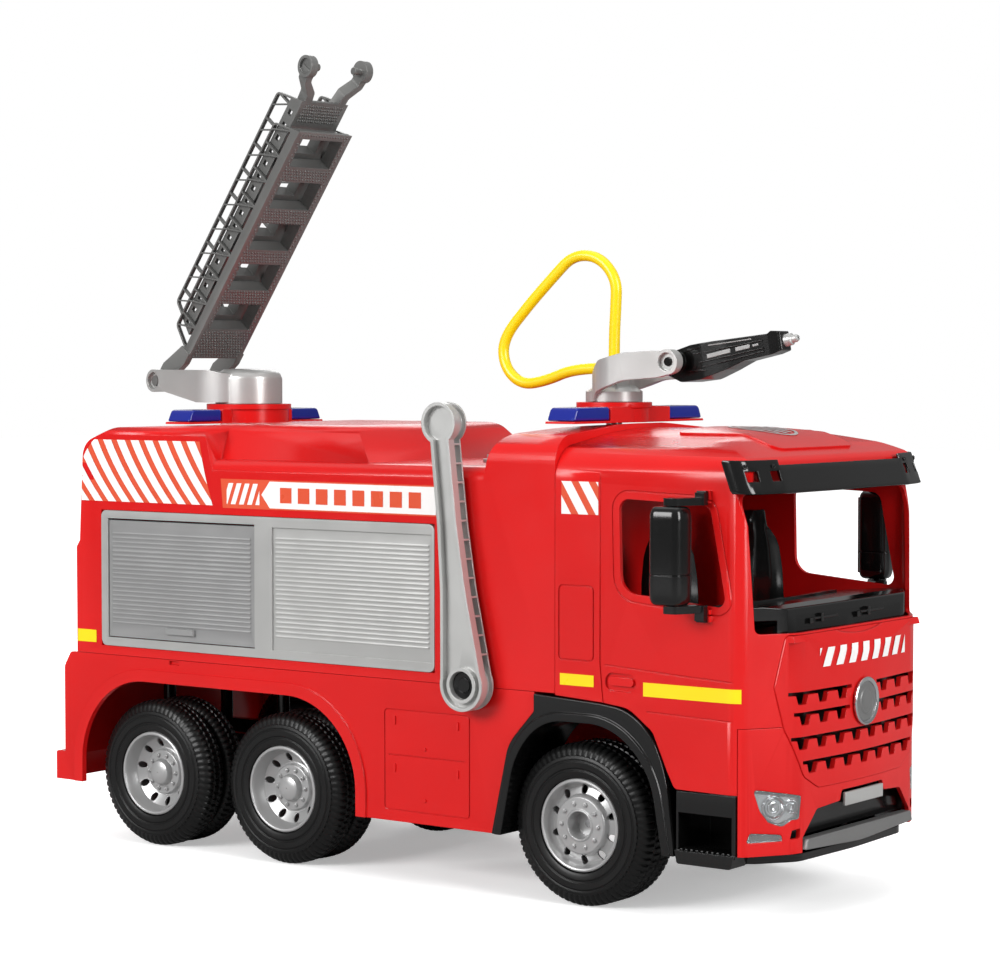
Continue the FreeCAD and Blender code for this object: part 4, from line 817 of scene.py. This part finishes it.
def roof_disc():
    """A plain ring with five bars across it."""
    outer, inner = (circle(DISC_X, 0.0, radius, 48) for radius in DISC_R[:2])
    pieces = [[outer[t - 1], outer[t], inner[t], inner[t - 1]] for t in range(48)]
    for across in range(-16, 17, 8):
        reach = math.sqrt(DISC_R[2] ** 2 - across ** 2)
        pieces.append(rectangle(DISC_X - reach, DISC_X + reach, across - 2.2, across + 2.2))
    laid("roof_disc", pieces, "Z", 400.0, "cab_shell", DISC, lift=1.7, fine=3)


def front():
    """The front panel's stripes, the roof's hatch and disc, and the round badge."""
    stripes = leaning(-56.0, 62.0, 168.0, 180.5, 15.5, 8.5, -6.0)
    laid("front_stripes", stripes, "X", 400.0, "front_panel", WHITE, lift=0.5)
    plate = rounded(rectangle(205.0, 286.0, -52.0, 52.0), 8.0)
    laid("roof_hatch", [plate], "Z", 400.0, "cab_shell", RED, lift=1.4, thick=1.4, fine=7)
    roof_disc()
    ring = bmesh.new()
    lathe(ring, BADGE_RING, BADGE, (1, 0, 0), 64)
    boss = bmesh.new()
    capped(boss, lathe(boss, BADGE_BOSS, BADGE, (1, 0, 0), 64), (-1,))
    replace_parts(made("badge_ring", ring, MIRROR, "badge"), "badge")
    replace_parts(made("badge_boss", boss, SKID, "badge"), "badge")


def lamps(side):
    """A silvered tray behind each clear lens, with a large and a small round reflector in it."""
    node = f"headlight_{tag_of(side)}"
    outline = [(-side * y, z) for y, z in HEADLIGHT]
    laid(f"reflector_{tag_of(side)}", [outline], "X", 400.0, node, MIRROR, lift=-4.0, fine=4)
    bowls = bmesh.new()
    outward = Vector((0.84, side * 0.54, 0.0))
    for y, z, radius in LAMP_BOWLS:
        place = shape_of(node).ray_cast(Vector((0.4, -side * y * MM, z * MM)), Vector((-1, 0, 0)))[0]
        bowl = [(radius, -0.6), (radius, 1.8), (radius - 0.8, 2.2), (radius - 1.6, 1.0),
                (radius * 0.55, -0.4), (radius * 0.5, 1.2), (radius * 0.38, 1.4), (0.4, 0.2)]
        capped(bowls, lathe(bowls, bowl, place / MM - outward * 3.4, outward, 40), (-1,))
    made(f"lamp_bowls_{tag_of(side)}", bowls, MIRROR, node)


MIRROR_AXIS = (257.0, 137.0)
MIRROR_CORNERS = [(-13, 7, 5.5), (-9, 11, 5.5), (10, 9, 7.0), (13, -8, 5.0), (-11, -9, 5.0)]
# height, and how far the plan is drawn in there
MIRROR_LEVELS = [(211.0, 4.5), (211.6, 2.6), (213.0, 1.1), (215.5, 0.3), (218.5, 0.0), (230.4, 0.0),
                 (230.6, 0.8), (231.3, 0.8), (231.5, 0.0), (266.0, 0.0), (270.5, 0.3), (273.0, 1.1),
                 (274.5, 2.6), (275.0, 4.5)]
MIRROR_GLASS = [(-13.3, 4.5), (-12.1, -6.0), (-11.0, -6.0), (-12.2, 4.5)]


def mirror_parts(side):
    """A rounded housing with a seam round its foot, its pivots above and below, and the glass behind."""
    node = f"mirror_{tag_of(side)}"
    x, y = MIRROR_AXIS
    plan = rounded([(x + along, y + out, bend) for along, out, bend in MIRROR_CORNERS], 5.0, 7)
    work = bmesh.new()
    loft(work, [[(u, side * v, height) for u, v in offset(plan, -shrink)]
                for height, shrink in MIRROR_LEVELS])
    for foot, top in ((206.0, 211.4), (274.6, 280.0)):
        capped(work, lathe(work, [(2.0, foot), (2.0, top)], (x, side * y, 0.0), (0, 0, 1), 24))
    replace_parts(made(f"mirror_housing_{tag_of(side)}", work, BLACK, node, 40), node)
    pane = bmesh.new()
    prism(pane, [(x + along, side * (y + out)) for along, out in MIRROR_GLASS], "Z", 215.5, 270.0)
    made(f"mirror_pane_{tag_of(side)}", pane, MIRROR, node)


# ---- ladder and cannon ------------------------------------------------------------------
OPENINGS = [75.8 + 39.3 * index for index in range(5)]
STUD_PITCH = 2.7
STUD_COLUMNS = 8                  # on each side of the middle one
STUD_STAGGER = 0.7
# node: start and end, half width, front, and half length and half width of its openings
PLATES = {"ladder_lower": (36.0, 250.0, 21.8, -14.0, 13.8, 21.0),
          "ladder_upper": (252.5, 268.0, 18.0, 0.8, 0.0, 0.0)}


def ladder_studs():
    """The chequered studs on the front plates of both ladder sections, clear of their openings."""
    for node, (start, end, reach, front, along, across) in PLATES.items():
        work = bmesh.new()
        row, place = 0, start
        while place < end:
            for column in range(-STUD_COLUMNS, STUD_COLUMNS + 1):
                y = column * reach / STUD_COLUMNS + (STUD_STAGGER if row % 2 else -STUD_STAGGER)
                if any(abs(place - middle) < along and abs(y) < across for middle in OPENINGS):
                    continue
                tip = work.verts.new((place * MM, y * MM, (front - 1.0) * MM))
                base = [work.verts.new(((place + forward) * MM, (y + aside) * MM, (front + 0.1) * MM))
                        for forward, aside in ((1.5, 0), (0, 1.2), (-1.5, 0), (0, -1.2))]
                for first, second in zip(base, base[1:] + base[:1]):
                    work.faces.new((tip, first, second))
            place += STUD_PITCH
            row += 1
        turned(work, LADDER_MOVES)
        made(f"{node}_studs", work, LADDER, node, 20)


# start and end along the barrel, low and high edge at the start, and rise to the end
GUN_INLAYS = [(24.0, 41.0, -2.2, 0.8, 1.0), (45.0, 56.0, -1.2, 1.6, 0.4), (58.0, 62.5, -0.4, 1.2, 0.2),
              (26.0, 58.0, 6.3, 7.1, -1.6)]
GUN_RIBS = [(14.0, 66.0, 2.2, 3.0, 0.2), (18.0, 66.0, -4.2, -3.4, 1.2), (20.0, 66.0, -7.6, -6.8, 2.4),
            (8.0, 22.0, -8.5, -7.5, -2.0), (6.0, 20.0, 5.2, 6.2, 1.0)]


def gun_strip(start, end, low, high, rise):
    tilt = Matrix.Rotation(math.radians(GUN_TILT), 2)
    pivot = Vector((GUN_PIVOT[0], GUN_PIVOT[2]))
    corners = [(start, low), (end, low + rise), (end, high + rise), (start, high)]
    return [tuple(tilt @ Vector(corner) + pivot) for corner in corners]


def gun_details():
    """Long ribs and grey inlays on both sides of the water cannon's body."""
    inlays = [gun_strip(*sizes) for sizes in GUN_INLAYS]
    ribs = [gun_strip(*sizes) for sizes in GUN_RIBS]
    for side in SIDES:
        for name, strips, look, lift, thick in (("inlays", inlays, SKID, 0.5, 0.7),
                                                ("ribs", ribs, BLACK, 0.9, 1.1)):
            laid(f"cannon_{name}_{tag_of(side)}", strips, "Y", side * 200.0, "cannon_body", look, lift=lift,
                 thick=thick, fine=2)


# ---- cab fittings -----------------------------------------------------------------------
SEAT_Y = 57.0
SEAT_STEPS = 16                   # across the back or the cushion
SEAT_FOOT = 181.0
# height, half width, and 1 for the head rest's plain shape
BACK_LEVELS = [(SEAT_FOOT, 27.0, 0.0), (186.0, 27.8, 0.0), (200.0, 28.0, 0.0), (220.0, 26.8, 0.0),
               (236.0, 23.4, 0.1), (243.0, 19.8, 0.3), (248.0, 15.6, 0.6), (251.0, 13.6, 0.9),
               (256.0, 13.0, 1.0), (261.0, 11.8, 1.0), (262.8, 9.6, 1.0)]
BACK_FACES = (210.0, 198.5)       # x of its front and back at the foot
BACK_LEAN = -0.035
CUSHION_FOOT = 155.0
CUSHION_HALF = 23.8
# x and height of the cushion's top, from back to front
CUSHION_LEVELS = [(197.0, 183.5), (200.0, 184.0), (215.0, 183.0), (228.0, 184.0), (235.0, 184.5),
                  (238.8, 182.0), (239.8, 178.0)]


def swell(across, place, spread):
    """A soft ridge, 1 high, at place on either side of the middle."""
    return math.exp(-((abs(across) - place) / spread) ** 2)


def seat_steps():
    return [-1.0 + 2.0 * step / SEAT_STEPS for step in range(SEAT_STEPS + 1)]


def seat_back(middle):
    """The moulded back: a hollow between two side bolsters, running up into a plain head rest."""
    levels = []
    for height, half, plain in BACK_LEVELS:
        lean = (height - SEAT_FOOT) * BACK_LEAN
        front, back = [], []
        for across in seat_steps():
            bolster = 5.0 * swell(across, 0.74, 0.17) * (1 - plain)
            edge = 4.0 * max(abs(across) - 0.8, 0.0) / 0.2
            y = middle + across * half
            front.append((BACK_FACES[0] + lean + bolster - edge - plain * 1.5, y, height))
            back.append((BACK_FACES[1] + lean + edge * 0.4, y, height))
        levels.append(front + list(reversed(back)))
    work = bmesh.new()
    loft(work, levels)
    return work


def seat_cushion(middle):
    """The cushion: a raised edge on three sides and a dished middle."""
    levels = []
    for x, top in CUSHION_LEVELS:
        upper = []
        for across in seat_steps():
            ridge = 3.0 * swell(across, 0.8, 0.14)
            edge = 5.0 * max(abs(across) - 0.88, 0.0) / 0.12
            upper.append((x, middle + across * CUSHION_HALF, top - 1.5 + ridge - edge))
        levels.append(upper + [(x, middle + 23.0, CUSHION_FOOT), (x, middle - 23.0, CUSHION_FOOT)])
    work = bmesh.new()
    loft(work, levels)
    return work


def seats():
    for side in SIDES:
        for name, draw in (("back", seat_back), ("cushion", seat_cushion)):
            piece = made(f"seat_{name}_{tag_of(side)}", draw(side * SEAT_Y), BLACK, "seats", 50)
            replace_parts(piece, "seats")


VISOR_PLAN = [(278.0, -120.0, 0.0), (296.4, -120.0, 13.0), (303.2, -84.0, 26.0), (304.4, 0.0, 500.0),
              (303.2, 84.0, 26.0), (296.4, 120.0, 13.0), (278.0, 120.0, 0.0)]
HOLE_HEIGHTS = (290.8, 297.6)
DROP_HEIGHT = 301.0               # the top edge's height between the two ends
VISOR_HEIGHTS = [283.0, 285.0, *HOLE_HEIGHTS, DROP_HEIGHT, 303.2, 304.5]
VISOR_LEAN = 8.0 / 21.5           # how far it leans forward for each millimetre down
VISOR_THICK = 2.2
# places along the strip from either end, in millimetres
HOLE_STOPS = ((19.0, 30.0), (42.0, 51.0))
PIN_STOPS = (20.0, 46.0)
DROP_STOP = 53.0                  # where the top edge steps down
VISOR_STOPS = [5.0, 6.5, 9.0, 12.0, 15.0, 17.0, 19.0, 21.0, 23.0, 25.0, 28.0, 30.0, 33.0, 36.0, 39.0,
               42.0, 45.0, 48.0, 51.0, DROP_STOP, 58.0, 66.0, 78.0, 90.0, 104.0, 118.0]
CORNER_TRIM = 1.2
PIN_HEIGHT = 300.2
PIN = [(1.7, -0.6), (1.7, 0.7), (1.2, 1.1), (0.9, 0.8), (0.2, 0.8)]


def visor_line():
    """The visor's plan as a function of the length along it, giving place and outward direction."""
    line = [Vector(point) for point in rounded(VISOR_PLAN, 14.0, 12)]
    reach = [0.0]
    for before, after in zip(line, line[1:]):
        reach.append(reach[-1] + (after - before).length)

    def along(stop):
        index = next(number for number in range(1, len(line)) if reach[number] >= stop)
        part = (stop - reach[index - 1]) / (reach[index] - reach[index - 1])
        way = (line[index] - line[index - 1]).normalized()
        return line[index - 1].lerp(line[index], part), Vector((way.y, -way.x))

    return along, reach[-1]


def visor_grid(work, along, stops):
    """One point for each stop along the strip and each height, with the strip's four corners trimmed."""
    top = VISOR_HEIGHTS[-1]
    grid = []
    for stop in stops:
        spots = []
        for height in VISOR_HEIGHTS:
            place = along(stop)[0]
            trim = CORNER_TRIM if stop in (stops[0], stops[-1]) and height in (VISOR_HEIGHTS[0], top) else 0.0
            x = place.x + (top - height) * VISOR_LEAN + trim
            spots.append(work.verts.new(Vector((x, place.y, height)) * MM))
        grid.append(spots)
    return grid


def visor():
    """The sun visor: a thin strip round the screen's top with two holes and two pins near each end."""
    along, total = visor_line()
    stops = VISOR_STOPS + [total - stop for stop in reversed(VISOR_STOPS)]
    work = bmesh.new()
    grid = visor_grid(work, along, stops)
    for column in range(len(stops) - 1):
        middle = (stops[column] + stops[column + 1]) / 2
        middle = min(middle, total - middle)
        in_hole = any(low < middle < high for low, high in HOLE_STOPS)
        for row, height in enumerate(VISOR_HEIGHTS[:-1]):
            if height == HOLE_HEIGHTS[0] and in_hole or height >= DROP_HEIGHT and middle > DROP_STOP:
                continue
            work.faces.new((grid[column][row], grid[column + 1][row], grid[column + 1][row + 1],
                            grid[column][row + 1]))
    bmesh.ops.delete(work, geom=[vertex for vertex in work.verts if not vertex.link_faces], context="VERTS")
    strip = made("visor_strip", work, BLACK, "visor", 40)
    thickened(strip, VISOR_THICK)
    bevelled(strip, 0.5, 2, 50)
    apply(strip, 40)
    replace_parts(strip, "visor")
    pins = bmesh.new()
    for stop in (*PIN_STOPS, *(total - stop for stop in reversed(PIN_STOPS))):
        place, outward = along(stop)
        foot = (place.x + (VISOR_HEIGHTS[-1] - PIN_HEIGHT) * VISOR_LEAN, place.y, PIN_HEIGHT)
        capped(pins, lathe(pins, PIN, foot, (outward.x, outward.y, 0.0), 20))
    made("visor_pins", pins, BLACK, "visor")


WIPER_FOOT = 314.6                # x of the dashboard's face in the middle
DASH_HOOD = [(248.5, -84.0), (254.0, -84.0), (262.0, -40.0), (264.5, 0.0), (262.0, 40.0), (254.0, 84.0),
             (248.5, 84.0), (256.0, 40.0), (258.5, 0.0), (256.0, -40.0)]
LEVER_EYE = (82.8, -127.6, 146.4)
EYE_RING = [(9.5, -0.3), (9.5, 0.5), (8.6, 0.9), (5.1, 0.4), (5.1, -0.3), (9.5, -0.3)]


def cab_fittings():
    """Moulded wipers on the dashboard's face, and the low hood on its top."""
    wipers = bmesh.new()
    for start in (-52.0, 10.0):
        x = WIPER_FOOT - abs(start) * 0.018
        block(wipers, (x - 3.0, x), (start, start + 32.0), (198.8, 200.2))
        block(wipers, (x - 3.0, x + 0.5), (start + 9.0, start + 12.0), (196.8, 202.4))
        block(wipers, (x - 3.0, x), (start - 5.0, start - 1.0), (196.4, 200.0))
    made("wipers", wipers, BLACK, "dashboard")
    laid("dash_hood", [DASH_HOOD], "Z", 230.0, "dashboard", BLACK, lift=1.6, thick=1.8)


def lever_eye():
    """The dark ring in the pump lever's eye."""
    work = bmesh.new()
    lathe(work, EYE_RING, LEVER_EYE, (0, -1, 0), 48)
    made("lever_eye", work, BLACK, "pump_lever")


def hose():
    """The hose: one NURBS curve through its listed points, both ends in the cannon's base."""
    line = bpy.data.curves.new("water_hose", "CURVE")
    line.dimensions = "3D"
    line.bevel_depth = HOSE_R * MM
    line.bevel_resolution = 8
    line.resolution_u = 24
    line.use_fill_caps = True
    spline = line.splines.new("NURBS")
    spline.points.add(len(HOSE) - 1)
    for point, place in zip(spline.points, HOSE):
        point.co = (*(value * MM for value in place), 1.0)
    spline.order_u = 3
    spline.use_endpoint_u = True
    line.materials.append(YELLOW)
    piece = linked("water_hose", line)
    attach(piece, "cannon_base")
    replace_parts(piece, "hose")


# ---- the whole object -------------------------------------------------------------------
LOOKS = {RED: ("upper_body", "lower_body", "cab_shell", "front_panel", "bumper", "light_bar_rear",
               "light_bar_front"),
         SILVER: ("shutter_frame_right", "shutter_frame_left", "ladder_turntable", "cannon_turntable",
                  "pump_lever", "cannon_nozzle", "number_plate"),
         SHUTTER: ("shutter_door_right", "shutter_door_left"),
         LADDER: ("ladder_lower", "ladder_upper"),
         SKID: ("skid_bar", "filler_cap"),
         BLACK: ("underframe", "cab_floor", "dashboard", "grille_backing", "front_fender_right",
                 "front_fender_left", "step_right", "step_left", "mirror_brackets", "cannon_body",
                 "pump_shaft"),
         STEEL: ("screws", "rear_axle", "middle_axle", "front_axle"),
         GREY: ("pump_plunger", "pump_barrel", "water_tank", "inner_hose"),
         BLUE: ("beacons",),
         CLEAR: ("headlight_right", "headlight_left")}
SEAMS = {"cab_shell": cab_seams, "lower_body": lower_seams}
BEVELS = {"beacons": 1.6, "skid_bar": 0.8, "dashboard": 1.2, "number_plate": 0.6, "cannon_body": 0.9,
          "pump_lever": 0.3, "light_bar_rear": 1.2, "light_bar_front": 1.2, "ladder_turntable": 2.0,
          "cannon_turntable": 1.0, "front_fender_right": 0.8, "front_fender_left": 0.8, "bumper": 0.6}

camera()
studio()
for material, nodes in LOOKS.items():
    for node in nodes:
        carved(node, material, SEAMS.get(node), BEVELS.get(node, 0.0))
wheels()
for side in SIDES:
    door_hardware(side)
    films(side)
    lamps(side)
    mirror_parts(side)
front()
visor()
seats()
cab_fittings()
lever_eye()
ladder_studs()
gun_details()
hose()
